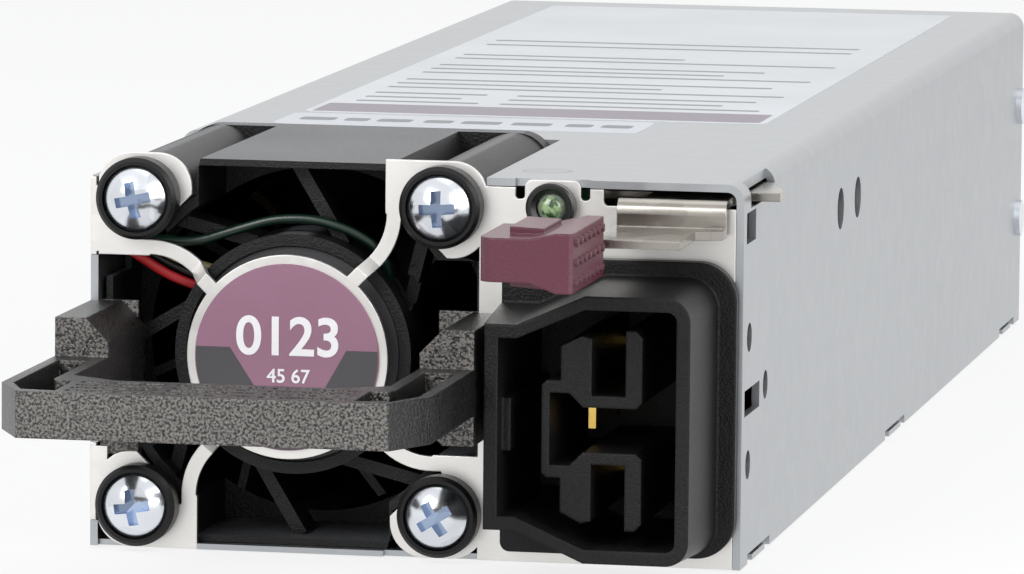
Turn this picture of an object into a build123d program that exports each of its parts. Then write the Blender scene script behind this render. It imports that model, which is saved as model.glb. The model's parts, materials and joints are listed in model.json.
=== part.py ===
from build123d import *
import math
import os

os.makedirs("parts", exist_ok=True)

# A slide-in power supply for a server: a sheet steel case, a fan behind a stamped front plate,
# a handle, a sprung side latch, a keyed power inlet, and a power board with a card edge behind.
# Sizes are millimetres. Pieces are drawn with X across, Y back from the face of the front plate
# and Z up from the underside. At the end all move forward by half the length of the case.

# Case
case_width = 68.6
case_height = 39.7
case_length = 216.0
cover_sheet = 0.8
cover_bend = 1.8
pan_sheet = 0.6
plate_sheet = 0.6
rear_sheet = 0.8
seat = 0.05                  # gap between pieces that are fixed to each other
slack = 0.3                  # gap between pieces that are free of each other
pan_flange_height = 7.0
lip_width = 19.8
hook_places = [(4.5, 13.9), (99.9, 15.0), (197.3, 13.4)]   # start and length of the edge notches
hook_notch_height = 1.0
hook_margin = 3.0

# Right wall of the cover: round holes as (y, z, diameter), then two windows
guide_holes = [(64.2, 30.5, 4.6), (76.5, 30.5, 4.6)]
vent_holes = [(4.1, 23.6, 3.0), (14.5, 17.4, 3.0), (4.0, 10.4, 3.0)]
side_window = (1.5, 10.8, 15.6, 18.3)
latch_window = (1.8, 7.4, 33.4, 36.6)
cover_screw_places = [(3.9, 28.1), (4.1, 13.7)]            # y from the back end, z
cover_screw_radius = 1.25
cover_screw_head = 2.3
cover_screw_head_height = 0.7
cover_screw_length = 4.5

# Fan
fan_size = 40.0
fan_depth = 38.0
fan_hole_pitch = 32.0
fan_side_gap = 0.5
fan_front_gap = 0.9          # rubber between the front plate and the fan
fan_bore_radius = 18.2
fan_wall = 1.0
fan_post_radius = 4.0
fan_flange = 3.0
fan_flange_corner = 3.5
fan_flat_half = 10.0
fan_flat_flare = 1.0
fan_hole_radius = 1.5
fan_hole_depth = 12.0
hub_ring_radius = 12.5
hub_ring_wall = 1.2
hub_ring_depth = 8.6
hub_ring_proud = 0.6
hub_face = 1.4
vane_count = 8
vane_width = 1.3
vane_depth = 7.4
vane_sweep = 22.0
vane_first = 22.5
vane_notch_radius = 15.4
vane_notch_depth = 2.7
bearing_bore = 4.0
bearing_tube_wall = 0.9
bearing_tube_length = 21.0
bearing_width = 3.0
shaft_radius = 1.5
shaft_play = 0.03
rotor_gap = 0.7              # fan blade tips to the bore
rotor_front_gap = 0.8
rotor_length = 23.0
rotor_radius = 11.6
rotor_wall = 1.1
magnet_thickness = 1.2
magnet_length = 13.0
stator_radius = 8.4
stator_arms = 4
stator_length = 10.0
coil_width = 3.2
blade_count = 7
blade_thickness = 0.9
blade_lean = 9.0
blade_camber = 2.2
fan_board_thickness = 1.0
fan_board_step = 2.5
label_thickness = 0.2

# Front plate
corner_reach = 20.6          # from the fan's middle to the edge of a corner pad
corner_inner = 10.2
pad_corner = 3.6
arm_width = 1.5
arm_offset = 10.8
arm_bend = 7.2
arm_turn = 45.0
disc_radius = 10.6
disc_proud = 1.7
joggle_start = 12.0
joggle_length = 1.4
plate_top_gap = 0.1
plate_flange_depth = 7.0
plate_flange_low = 9.85
plate_flange_high = 17.95
groove_radius = 2.6
badge_radius = 9.7
badge_thickness = 0.25
grommet_radius = 4.45
grommet_proud = 2.5
grommet_recess_radius = 3.5
grommet_recess_depth = 1.2
grommet_back_radius = 3.8
screw_head_radius = 3.3
screw_head_height = 2.0
screw_head_edge = 0.6
screw_shank_radius = 1.45
screw_length = 11.0
screw_turns = [12.0, 3.0, 32.0, 8.0]

# Handle
handle_reach = 41.7
handle_right = 9.3
handle_arm = 5.6
handle_low = 17.0
handle_height = 4.7
bar_depth = 10.0
handle_corner_x = 3.0
handle_corner_y = 6.0
handle_inner_corner = 5.0
ear_depth = 14.7
ear_low = 13.9
ear_high = 25.7
ear_chamfer = 2.4
foot_low = 9.6
foot_high = 31.6
foot_thickness = 0.75
foot_width = 4.1
pocket_wall = 1.2
pocket_floor = 1.4
slot_rows = 4
slot_columns = 3
slot_rib = 0.9

# Latch
latch_travel = 3.0
lever_sheet = 0.9
lever_top_gap = 0.7
lever_right_gap = 0.5
lever_back = 19.0
lever_fork_x = 10.4
lever_fork_front = 5.2
lever_neck_x = 24.0
lever_awning_x = 21.4
lever_awning_front = 1.8
lever_drop = 2.9
lever_ledge_short = 4.9
lever_ledge_long = 13.9
lever_ledge_step = 30.1
lever_end_x = 32.7
nose_reach = 36.8
nose_front = 7.2
nose_flat = 2.7
nose_back = 17.5
nose_slot = (4.2, 19.0)
nose_slot_low = 36.9
plate_slot_x = 19.7
plate_slot_low = 37.15
rivet_x = 12.2
rivet_y = 8.4
rivet_head_radius = 2.6
rivet_radius = 1.3
rivet_flange_radius = 2.2
rivet_flange = 0.6
tab_left = 12.9
tab_right = 22.4
tab_front = 31.0
tab_low = 31.9
tab_height = 5.0
tab_back = 18.0
tab_corner = 1.6
paddle_thickness = 1.7
paddle_low = 31.4
paddle_high = 38.0
paddle_neck = 2.6
rib_x = (15.4, 18.8)
rib_y = (17.4, 27.4)
rib_height = 0.9
stud_rows = 3
stud_columns = 7
stud_radius = 0.45
stud_proud = 0.3
spring_wire = 0.25
spring_radius = 1.25
spring_turns = 5
spring_front = 11.0
spring_back = 15.0
spring_left = 19.3
spring_right = 28.0
bracket_sheet = 0.7
bracket_foot = 2.7

# Status light
led_x = 14.4
led_z = 36.9
led_ring_radius = 2.55
led_ring_proud = 1.6
led_hole_radius = 2.0
led_radius = 1.5
led_proud = 1.2
led_length = 3.6
led_tab_half = 2.9
led_tab_top = 39.6
led_relief = 1.0
led_board_width = 7.0
led_board_thickness = 0.8

# Power inlet
inlet_left = 10.2
inlet_right = 31.3
inlet_mid_z = 15.9
inlet_half_left = 10.5
inlet_half_right = 13.6
inlet_taper_start = 3.3
inlet_taper_end = 10.3
inlet_corner = 2.4
inlet_wall = 1.4
inlet_proud = 14.0
inlet_flange_left = 9.5
inlet_flange_right = 33.9
inlet_flange_low = 1.3
inlet_flange_high = 31.8
inlet_flange = 1.6
inlet_flange_corner = 4.0
inlet_depth = 12.0
inlet_back_wall = 3.0
tower_wall = 1.5
tower_front = 11.6
tower_left = 17.4
tower_right = 25.8
tower_gap = 4.9              # between the upper and the lower tower
tower_height = 7.4
ground_left = 15.4
ground_half = 5.4
ground_arm = 3.2
blade_width = 0.8
blade_height = 2.4
blade_front = 8.0
terminal_reach = 7.0

# Boards and what stands on them
board_thickness = 1.6
standoff_height = 5.0
standoff_radius = 2.6
standoff_bore = 1.3
board_side_gap = 2.0
board_front_right = 26.0
board_front_left = 44.5
board_back_gap = 1.0
tongue_left = -26.0
tongue_right = 16.0
tongue_reach = 9.0
finger_count = 14
finger_width = 1.9
finger_length = 7.0
finger_thickness = 0.05
standoff_places = [(28.5, 36.0), (-28.0, 110.0), (27.0, 118.0), (-28.0, 165.0), (-28.0, 206.0), (27.0, 206.0)]
board_screw_head = 2.4
board_screw_height = 1.6
insulator_thickness = 0.3
rear_hole = 2.6
rear_pitch = 3.6
rear_columns = 16
rear_rows = 5
rear_window_gap = 0.6

lead_radius = 0.5
wire_radius = 1.1

# Places worked out from the sizes above
half = case_width / 2
inner = half - cover_sheet
ceiling = case_height - cover_sheet
plate_back = plate_sheet
fan_x = -inner + fan_side_gap + fan_size / 2
fan_z = pan_sheet + seat + fan_size / 2
fan_front = plate_back + fan_front_gap
fan_back = fan_front + fan_depth
fan_half = fan_size / 2
screw_offset = fan_hole_pitch / 2
hub_front = fan_front - hub_ring_proud
hub_inner = hub_ring_radius - hub_ring_wall
hub_face_back = hub_front + label_thickness + 0.5 + hub_face
hub_back = hub_front + hub_ring_depth
rotor_front = hub_back + rotor_front_gap
rotor_back = rotor_front + rotor_length
board_low = pan_sheet + standoff_height
board_top = board_low + board_thickness
board_half = inner - board_side_gap
board_back = case_length - rear_sheet - board_back_gap
lever_high = ceiling - lever_top_gap
lever_low = lever_high - lever_sheet
lever_right = inner - lever_right_gap
ledge_high = lever_low - lever_drop + lever_sheet
plate_right = inner - seat
plate_left = fan_x + corner_reach
plate_top = ceiling - plate_top_gap
fan_board_front = hub_face_back + fan_board_step


def front_slab(shape, front, back):
    """Stretch an outline drawn in X and Z along Y."""
    plane = Plane(origin=(0, back, 0), x_dir=(1, 0, 0), z_dir=(0, -1, 0))
    return extrude(plane * shape, amount=back - front, dir=plane.z_dir)


def plan_slab(shape, low, high):
    """Stretch an outline drawn in X and Y along Z."""
    return extrude(Plane.XY.offset(low) * shape, amount=high - low, dir=(0, 0, 1))


def block(left, right, front, back, low, high):
    middle = Pos((left + right) / 2, (front + back) / 2, (low + high) / 2)
    return middle * Box(right - left, back - front, high - low)


def panel(left, right, low, high, corner=0.0):
    """A rectangle in a flat outline, with its four corners rounded if a radius is given."""
    width = right - left
    height = high - low
    shape = RectangleRounded(width, height, corner) if corner > 0 else Rectangle(width, height)
    return Pos((left + right) / 2, (low + high) / 2) * shape


def turned(points, x=0.0, z=0.0):
    """Turn a profile of (radius, y) points about the line through x and z that runs along Y."""
    return Pos(x, 0, z) * revolve(Polygon(*points, align=None), Axis.Y)


def tube(outer, inner_radius, front, back, x=0.0, z=0.0):
    points = [(inner_radius, front), (outer, front), (outer, back), (inner_radius, back)]
    return turned(points, x, z)


def rod(radius, front, back, x=0.0, z=0.0):
    return Pos(x, (front + back) / 2, z) * (Rot(90, 0, 0) * Cylinder(radius, back - front))


def post(radius, x, y, low, high):
    return Pos(x, y, (low + high) / 2) * Cylinder(radius, high - low)


def cross_rod(radius, y, z, left, right):
    return Pos((left + right) / 2, y, z) * (Rot(0, 90, 0) * Cylinder(radius, right - left))


def polar(radius, degrees):
    angle = math.radians(degrees)
    return radius * math.cos(angle), radius * math.sin(angle)


def fan_corners():
    """The four screw places of the fan, from the upper left one round to the left by quarter turns."""
    places = [(-1, 1), (1, 1), (1, -1), (-1, -1)]
    return [(fan_x + a * screw_offset, fan_z + b * screw_offset) for a, b in places]


def lead(points, radius):
    """A wire along straight runs, each corner rounded as far as its two runs allow."""
    runs = [(Vector(b) - Vector(a)) for a, b in zip(points, points[1:])]
    bends = []
    for before, after in zip(runs, runs[1:]):
        turn = math.radians(before.get_angle(after))
        bends.append(0.45 * min(before.length, after.length) / math.tan(turn / 2))
    path = FilletPolyline(*points, radius=bends)
    section = Plane(origin=path @ 0, z_dir=path % 0) * Circle(radius)
    print("wire bends", [round(bend, 1) for bend in bends], "length", round(path.length, 1))
    return sweep(section, path=path)


def save(name, *solids):
    """Move the solids of one piece to their place and write them to its file."""
    shapes = [Pos(0, -case_length / 2, 0) * solid for solid in solids]
    bodies = [body for shape in shapes for body in shape.solids()]
    export_step(Compound(children=bodies) if len(bodies) > 1 else bodies[0], f"parts/{name}.step")


# Case: a pan, an arched cover with both side walls, and a rear panel

def hook_spans():
    return [(start, start + length) for start, length in hook_places]


def base_pan():
    low_front = plate_back + seat
    back = case_length - rear_sheet - seat
    edge = inner - seat
    pan = block(-edge, edge, low_front, back, 0, pan_sheet)
    pan += block(fan_x - lip_width / 2, fan_x + lip_width / 2, 0, low_front, 0, pan_sheet)
    left_flange = (-edge, -edge + pan_sheet, fan_back + slack, back - hook_margin)
    right_flange = (edge - pan_sheet, edge, board_front_right - hook_margin, back - hook_margin)
    for flange in (left_flange, right_flange):
        pan += block(*flange, 0, pan_flange_height)
    for front, rear in hook_spans():
        for side in (-1, 1):
            ends = sorted((side * edge, side * half))
            pan += block(*ends, front + hook_margin, rear - hook_margin, 0, pan_sheet)
    return pan


def cover_wall_hole(y, z, diameter):
    return cross_rod(diameter / 2, y, z, inner - cover_sheet, half + cover_sheet)


def cover_screw_spots():
    return [(case_length - y, z) for y, z in cover_screw_places]


def top_cover():
    outer = panel(-half, half, 0, case_height)
    outer = fillet(outer.vertices().group_by(Axis.Y)[-1], cover_bend)
    hollow = panel(-inner, inner, -cover_sheet, ceiling)
    hollow = fillet(hollow.vertices().group_by(Axis.Y)[-1], cover_bend - cover_sheet)
    cover = front_slab(outer - hollow, 0, case_length)
    over = case_height + cover_sheet
    out = half + cover_sheet
    # the fan is taller than the case, so the top stops short of it and behind its flange
    notch_right = fan_x + fan_half + fan_side_gap
    cover -= block(-out, notch_right, -seat, fan_back + slack, plate_top, over)
    cover -= block(-inner, notch_right, -seat, fan_back + slack, ceiling - cover_bend, over)
    tab_left_edge = led_x - led_tab_half - led_relief
    tab_right_edge = led_x + led_tab_half + led_relief
    cover -= block(tab_left_edge, tab_right_edge, -seat, plate_back + seat, ceiling - cover_sheet, over)
    for side in (-1, 1):
        ends = sorted((side * plate_flange_low, side * plate_flange_high))
        low, high = (fan_z + ends[0] - seat, fan_z + ends[1] + seat)
        cover -= block(-out, -inner + seat, -seat, plate_flange_depth + seat, low, high)
    for y, z, diameter in guide_holes + vent_holes:
        cover -= cover_wall_hole(y, z, diameter)
    for front, back, low, high in (side_window, latch_window):
        cover -= block(inner - seat, out, front, back, low, high)
    slot_left = inner - 0.2
    cover -= block(slot_left, out, nose_slot[0], nose_slot[1], nose_slot_low, over)
    for front, rear in hook_spans():
        for side in (-1, 1):
            ends = sorted((side * (inner - seat), side * out))
            cover -= block(*ends, front, rear, -seat, hook_notch_height)
    for y, z in cover_screw_spots():
        for side in (-1, 1):
            ends = sorted((side * (inner - seat), side * out))
            cover -= cross_rod(cover_screw_radius + seat, y, z, *ends)
    cone = Pos(rivet_x, rivet_y, ceiling + cover_sheet / 2)
    cover -= cone * Cone(rivet_radius + seat, rivet_head_radius + seat, cover_sheet)
    return cover


def rear_panel():
    front = case_length - rear_sheet
    outline = panel(-inner + seat, inner - seat, pan_sheet + seat, ceiling - seat, cover_bend - cover_sheet)
    plate = front_slab(outline, front, case_length)
    plate -= block(tongue_left - rear_window_gap, tongue_right + rear_window_gap,
                   front - seat, case_length + seat,
                   board_low - rear_window_gap, board_top + rear_window_gap)
    hexagon = RegularPolygon(rear_hole / 2, 6)
    row_step = rear_pitch * math.sqrt(3) / 2
    low_row = board_top + rear_pitch * 2
    holes = []
    for row in range(rear_rows):
        shift = rear_pitch / 2 if row % 2 else 0
        for column in range(rear_columns):
            x = (column - (rear_columns - 1) / 2) * rear_pitch + shift - rear_pitch / 4
            holes.append(Pos(x, low_row + row * row_step) * hexagon)
    plate -= front_slab(Sketch() + holes, front - seat, case_length + seat)
    foot = block(-half / 2, half / 2, front - pan_flange_height, front + seat,
                 pan_sheet + seat, pan_sheet + seat + rear_sheet)
    side_flanges = []
    for side in (-1, 1):
        flat = sorted((side * (inner - seat - rear_sheet), side * (inner - seat)))
        for y, z in cover_screw_spots():
            flange = block(*flat, front - pan_flange_height, front + seat, z - 3, z + 3)
            side_flanges.append(flange - cross_rod(cover_screw_radius, y, z, *flat))
    return plate + foot + side_flanges


def cover_screws():
    screws = []
    for y, z in cover_screw_spots():
        for side in (-1, 1):
            head = sorted((side * half, side * (half + cover_screw_head_height)))
            shank = sorted((side * (half - cover_screw_length), side * half))
            screw = cross_rod(cover_screw_head, y, z, *head)
            screw += cross_rod(cover_screw_radius - seat, y, z, *shank)
            screws.append(screw)
    return screws


# Front plate: one stamping with four sprung arms that carry a raised disc before the fan

def corner_outline():
    """The upper left corner pad about the fan's middle, with the open slot for its grommet."""
    pad = panel(-corner_reach, -corner_inner - 0.4, corner_inner - 0.3, corner_reach)
    pad = fillet(pad.vertices().group_by(Axis.Y)[-1], pad_corner)
    middle = (-screw_offset, screw_offset)
    pad -= Pos(*middle) * Circle(groove_radius + seat)
    edge = -corner_inner
    mouth = [middle,
             (middle[0] + 4.1, middle[1] - 0.9),
             (edge + 0.3, middle[1] + 1.1),
             (edge + 0.3, corner_inner - 1),
             (-corner_reach + 5.9, corner_inner - 1),
             (-corner_reach + 3.2, screw_offset - 1.6)]
    return pad - Polygon(*mouth, align=None)


def arm_outline():
    """The strip from the upper left pad: level, then curving down to point at the disc."""
    start = -screw_offset + 1.0
    low = arm_offset - arm_width / 2
    strip = panel(-corner_reach, start, low - 0.1, low + arm_width)
    centre = (start, arm_offset - arm_bend)
    ring = Circle(arm_bend + arm_width / 2) - Circle(arm_bend - arm_width / 2)
    reach = 2 * arm_bend
    wedge = Polygon((0, 0), (0, reach), polar(reach, 90 - arm_turn), align=None)
    end = polar(arm_bend, 90 - arm_turn)
    neck_length = math.hypot(centre[0] + end[0], centre[1] + end[1]) - disc_radius + 1.5
    neck = Rot(0, 0, -arm_turn) * panel(-0.1, neck_length, -arm_width / 2, arm_width / 2)
    arm = strip + Pos(*centre) * (ring & wedge)
    return arm + Pos(centre[0] + end[0], centre[1] + end[1]) * neck


def plate_outline():
    corner = corner_outline()
    arm = arm_outline()
    shape = Circle(disc_radius)
    for turn in (0, 90, 180, 270):
        shape += Rot(0, 0, turn) * arm
    limit = panel(-inner + seat - fan_x, inner, -fan_z, corner_reach)
    pads = [Rot(0, 0, turn) * corner for turn in (0, 90, 180, 270)]
    shape = (shape + pads) & limit
    for side in (-1, 1):
        low, high = sorted((side * corner_inner, side * (corner_reach - pad_corner)))
        shape += panel(-half - fan_x, 1.0 - inner - fan_x, low, high)
    shape = Pos(fan_x, fan_z) * shape
    field = panel(plate_left - 0.8, plate_right, seat, plate_top)
    field += panel(led_x - led_tab_half, led_x + led_tab_half, plate_top - 3, led_tab_top, 0.8)
    for side in (-1, 1):
        relief = led_x + side * (led_tab_half + led_relief / 2)
        field -= panel(relief - led_relief / 2, relief + led_relief / 2, plate_top - 1.2, plate_top + 1, 0.4)
    field -= panel(plate_slot_x, plate_right + 1, plate_slot_low, plate_top + 1, 0.5)
    field -= Pos(led_x, led_z) * Circle(led_hole_radius + seat)
    field -= inlet_outline(seat)
    slots = Sketch() + [Pos(x, z) * Circle(groove_radius + seat) for x, z in fan_corners()]
    return shape + (field - slots)


def front_plate():
    """Fold the flat outline over a dished disc, so that the arms step forward near it."""
    far = case_width * 1.5
    proud = -disc_proud
    step_end = joggle_start + joggle_length
    skin = [(0, proud), (joggle_start, proud), (step_end, 0), (far, 0), (far, plate_back),
            (step_end - 0.2, plate_back), (joggle_start - 0.2, proud + plate_sheet), (0, proud + plate_sheet)]
    dish = turned(skin, fan_x, fan_z)
    plate = dish & front_slab(plate_outline(), proud - 1, plate_back + 1)
    for side in (-1, 1):
        ends = sorted((side * plate_flange_low, side * plate_flange_high))
        plate += block(-half, -half + plate_sheet, 0, plate_flange_depth, fan_z + ends[0], fan_z + ends[1])
    return plate


def badge():
    back = -disc_proud
    return rod(badge_radius, back - badge_thickness, back, fan_x, fan_z)


# Rubber grommets and screws that hold the fan to the plate

def grommet(x, z):
    proud = -grommet_proud
    profile = [(fan_hole_radius + seat, proud + grommet_recess_depth),
               (grommet_recess_radius, proud + grommet_recess_depth),
               (grommet_recess_radius, proud),
               (grommet_radius - 0.4, proud),
               (grommet_radius, proud + 0.4),
               (grommet_radius, 0),
               (groove_radius, 0),
               (groove_radius, plate_back),
               (grommet_back_radius, plate_back),
               (grommet_back_radius, fan_front),
               (fan_hole_radius + seat, fan_front)]
    return turned(profile, x, z)


def fan_screw(x, z, turn):
    under = -grommet_proud + grommet_recess_depth
    crown = under - screw_head_height
    rim = under - screw_head_edge
    dome = (screw_head_radius ** 2 + (rim - crown) ** 2) / (2 * (rim - crown))
    with BuildPart() as screw:
        with BuildSketch(Plane.XY):
            with BuildLine():
                Line((0, crown), (0, under + screw_length))
                Line((0, under + screw_length), (screw_shank_radius, under + screw_length))
                Line((screw_shank_radius, under + screw_length), (screw_shank_radius, under))
                Line((screw_shank_radius, under), (screw_head_radius, under))
                Line((screw_head_radius, under), (screw_head_radius, rim))
                RadiusArc((screw_head_radius, rim), (0, crown), dome)
            make_face()
        revolve(axis=Axis.Y)
    recess = Rectangle(3.6, 1.0) + Rectangle(1.0, 3.6)
    cross = front_slab(Rot(0, 0, turn) * recess, crown - 1, crown + 1.1)
    return Pos(x, 0, z) * (screw.part - cross)


def fan_screws():
    return [fan_screw(x, z, turn) for (x, z), turn in zip(fan_corners(), screw_turns)]


# Fan: square frame with a stator hub in front, and a rotor that turns behind it

def fan_section():
    """Round barrel with four flats and four corner posts, about the fan's middle."""
    low = fan_bore_radius - 2
    flat = Polygon((-fan_flat_half, fan_half), (fan_flat_half, fan_half),
                   (fan_flat_half + fan_flat_flare, low), (-fan_flat_half - fan_flat_flare, low), align=None)
    shape = Circle(fan_bore_radius + fan_wall)
    for turn in (0, 90, 180, 270):
        shape += Rot(0, 0, turn) * flat
        shape += Rot(0, 0, turn) * (Pos(screw_offset, screw_offset) * Circle(fan_post_radius))
    return shape - Circle(fan_bore_radius)


def stator_vane(degrees):
    inner_end = Vector(*polar(hub_ring_radius - 0.4, degrees))
    outer_end = Vector(*polar(fan_bore_radius + fan_wall * 0.4, degrees + vane_sweep))
    run = outer_end - inner_end
    side = Vector(-run.Y, run.X).normalized() * (vane_width / 2)
    corners = [inner_end + side, inner_end - side, outer_end - side, outer_end + side]
    outline = Polygon(*[(c.X, c.Y) for c in corners], align=None)
    return front_slab(outline, fan_front + 0.1, fan_front + vane_depth)


def fan_frame():
    frame = front_slab(fan_section(), fan_front, fan_back - fan_flange)
    flange = RectangleRounded(fan_size, fan_size, fan_flange_corner) - Circle(fan_bore_radius)
    frame += front_slab(flange, fan_back - fan_flange, fan_back)
    vanes = [stator_vane(vane_first + 360 / vane_count * k) for k in range(vane_count)]
    notch = tube(vane_notch_radius, hub_ring_radius, fan_front - 1, fan_front + vane_notch_depth)
    frame += [vane - notch for vane in vanes]
    frame += tube(hub_ring_radius, hub_inner, hub_front, hub_back)
    tube_outer = bearing_bore + bearing_tube_wall
    face_front = hub_face_back - hub_face
    stem_back = hub_face_back + bearing_tube_length
    profile = [(0, face_front), (hub_inner + 0.1, face_front), (hub_inner + 0.1, hub_face_back),
               (tube_outer + 1.4, hub_face_back), (tube_outer + 1.4, fan_board_front),
               (tube_outer, fan_board_front), (tube_outer, stem_back),
               (bearing_bore, stem_back), (bearing_bore, hub_face_back), (0, hub_face_back)]
    frame += turned(profile)
    for x, z in fan_corners():
        frame -= rod(fan_hole_radius, fan_front - seat, fan_front + fan_hole_depth, x - fan_x, z - fan_z)
    # the leads leave the hub on the left and on the right, and leave the frame by the upper left pocket
    for degrees in (142.0, 34.0):
        gate = block(0, 4, fan_board_front - 2.1, fan_board_front + 0.3, -2.4, 2.4)
        frame -= Rot(0, -degrees, 0) * (Pos(hub_ring_radius - 2.0, 0, 0) * gate)
    frame -= block(-fan_half - 1, -fan_bore_radius + 4.6, fan_front - 1, fan_front + 8.0, 7.4, 12.9)
    frame -= block(-fan_half - 1, -17.4, fan_back - fan_flange - 1, fan_back + 1, 10.2, 12.9)
    return Pos(fan_x, 0, fan_z) * frame


def fan_bearings():
    seats = [hub_face_back + 0.2, hub_face_back + bearing_tube_length - bearing_width - 0.2]
    return [tube(bearing_bore - 0.02, shaft_radius + shaft_play, front, front + bearing_width, fan_x, fan_z)
            for front in seats]


def stator_front():
    return fan_board_front + fan_board_thickness + 4.5


def fan_circuit_board():
    bore = bearing_bore + bearing_tube_wall + seat
    return tube(hub_inner - 0.4, bore, fan_board_front, fan_board_front + fan_board_thickness, fan_x, fan_z)


def fan_stator():
    """Four-arm lamination stack on the bearing tube."""
    bore = bearing_bore + bearing_tube_wall + seat
    shape = Circle(bore + 1.2)
    tip = Circle(stator_radius) - Circle(stator_radius - 1.0)
    for k in range(stator_arms):
        arm = panel(0, stator_radius - 0.4, -0.9, 0.9)
        wedge = Polygon((0, 0), polar(2 * stator_radius, -32), polar(2 * stator_radius, 32), align=None)
        shape += Rot(0, 0, 90 * k) * arm
        shape += Rot(0, 0, 90 * k) * (tip & wedge)
    shape -= Circle(bore)
    start = stator_front()
    return Pos(fan_x, 0, fan_z) * front_slab(shape, start, start + stator_length)


def fan_coils():
    """A winding round each arm, closed over both ends of the stack."""
    start = stator_front()
    near = bearing_bore + bearing_tube_wall + 1.4
    far = stator_radius - 1.15
    outer = panel(near, far, -coil_width / 2, coil_width / 2, 0.4)
    gap = panel(near - 1, far + 1, -0.95, 0.95)
    coils = []
    for k in range(stator_arms):
        coil = front_slab(outer, start - 1.0, start + stator_length + 1.0)
        coil -= front_slab(gap, start - seat, start + stator_length + seat)
        coils.append(Pos(fan_x, 0, fan_z) * (Rot(0, 90 * k, 0) * coil))
    return coils


def magnet_outer():
    return rotor_radius - rotor_wall - 0.01


def fan_magnet_ring():
    outer = magnet_outer()
    start = rotor_front + 1.5
    return tube(outer, outer - magnet_thickness, start, start + magnet_length, fan_x, fan_z)


def fan_blade():
    """A cambered blade drawn in the unrolled plane, then pushed out to the tip radius."""
    front = rotor_front + 0.6
    back = rotor_back - 1.2
    rise = (-blade_lean / 2, blade_lean / 2)
    middle = (front + back) / 2
    bow = (blade_camber, middle)
    with BuildSketch(Plane.YZ) as outline:
        with BuildLine():
            ThreePointArc((front, rise[0]), (bow[1], bow[0] * 0.4 + blade_thickness / 2), (back, rise[1]))
            Line((back, rise[1]), (back - 0.3, rise[1] + blade_thickness))
            ThreePointArc((back - 0.3, rise[1] + blade_thickness),
                          (bow[1], bow[0] * 0.4 + blade_thickness * 1.7), (front, rise[0] + blade_thickness))
            Line((front, rise[0] + blade_thickness), (front, rise[0]))
        make_face()
    blade = extrude(outline.sketch, amount=fan_bore_radius)
    shell = tube(fan_bore_radius - rotor_gap, rotor_radius - rotor_wall / 2, front - 1, back + 1)
    return blade & shell


def fan_rotor():
    profile = [(rotor_radius - rotor_wall, rotor_front), (rotor_radius, rotor_front),
               (rotor_radius, rotor_back - 1.5), (rotor_radius - 1.5, rotor_back), (0, rotor_back),
               (0, rotor_back - 2.0), (rotor_radius - rotor_wall, rotor_back - 2.0)]
    rotor = turned(profile)
    blade = fan_blade()
    rotor += [Rot(0, 360 / blade_count * k, 0) * blade for k in range(blade_count)]
    rotor -= rod(shaft_radius, rotor_back - 3, rotor_back - 0.8)
    return Pos(fan_x, 0, fan_z) * rotor


def fan_shaft():
    front = hub_face_back + 0.5
    return rod(shaft_radius, front, rotor_back - 0.8, fan_x, fan_z)


def fan_hub_label():
    front = hub_face_back - hub_face - label_thickness
    return rod(hub_inner - 0.2, front, front + label_thickness, fan_x, fan_z)


def fan_point(radius, degrees, y):
    a, b = polar(radius, degrees)
    return (fan_x + a, y, fan_z + b)


# The four leads ride together in the frame's upper left pocket, as columns seen from in front
lead_columns = {"red": (-19.45, 11.0), "black": (-18.35, 11.0), "yellow": (-18.4, 12.05), "green": (-19.5, 12.1)}
turn_depths = {"red": 3.0, "black": 4.2, "yellow": 3.0, "green": 1.8}
plug_x = {"red": -29.6, "green": -28.2, "black": -26.8, "yellow": -25.4}
plug_y = board_front_left + 3.0
plug_top = board_top + 6.0


def lead_tail(colour):
    across, up = lead_columns[colour]
    column = (fan_x + across, fan_z + up)
    back = fan_back + 2.0
    return [(column[0], back, column[1]),
            (plug_x[colour], plug_y, column[1] - 1.0),
            (plug_x[colour], plug_y, plug_top)]


lead_level = fan_board_front - lead_radius - 0.02
lead_starts = {
    "red": [fan_point(8.0, 150, lead_level), fan_point(11.8, 149.5, lead_level), fan_point(15.6, 152, 4.0)],
    "black": [fan_point(8.0, 142, lead_level), fan_point(11.8, 143.5, lead_level), fan_point(15.4, 148, 4.6)],
    "yellow": [fan_point(8.0, 134, lead_level), fan_point(11.8, 137.5, lead_level), fan_point(15.4, 144, 3.6)],
    "green": [fan_point(8.0, 30, lead_level), fan_point(12.0, 36, lead_level), fan_point(14.0, 50, 3.3),
              fan_point(14.0, 66, 3.1), fan_point(14.0, 83, 3.1), fan_point(14.0, 100, 3.1),
              fan_point(14.1, 117, 3.1), fan_point(15.6, 135, 2.4)],
}


def fan_lead(colour):
    across, up = lead_columns[colour]
    turn_point = (fan_x + across, turn_depths[colour], fan_z + up)
    return lead(lead_starts[colour] + [turn_point] + lead_tail(colour), lead_radius)


def fan_connector():
    left = min(plug_x.values()) - 1.4
    right = max(plug_x.values()) + 1.4
    return block(left, right, plug_y - 2.2, plug_y + 2.2, board_top, plug_top)


# Handle: a moulded bail with an open ribbed back, two ears and two feet held behind the plate

def handle_outline():
    left = -half
    right = handle_right
    front = -handle_reach
    bar_back = front + bar_depth
    ears = -ear_depth
    return Polygon((left, ears), (left, front + handle_corner_y), (left + handle_corner_x, front),
                   (right - handle_corner_x, front), (right, front + handle_corner_y), (right, ears),
                   (right - handle_arm, ears), (right - handle_arm, bar_back + handle_inner_corner * 0.6),
                   (right - handle_arm - handle_inner_corner, bar_back),
                   (left + handle_arm + handle_inner_corner, bar_back),
                   (left + handle_arm, bar_back + handle_inner_corner * 0.6), (left + handle_arm, ears),
                   align=None)


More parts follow.
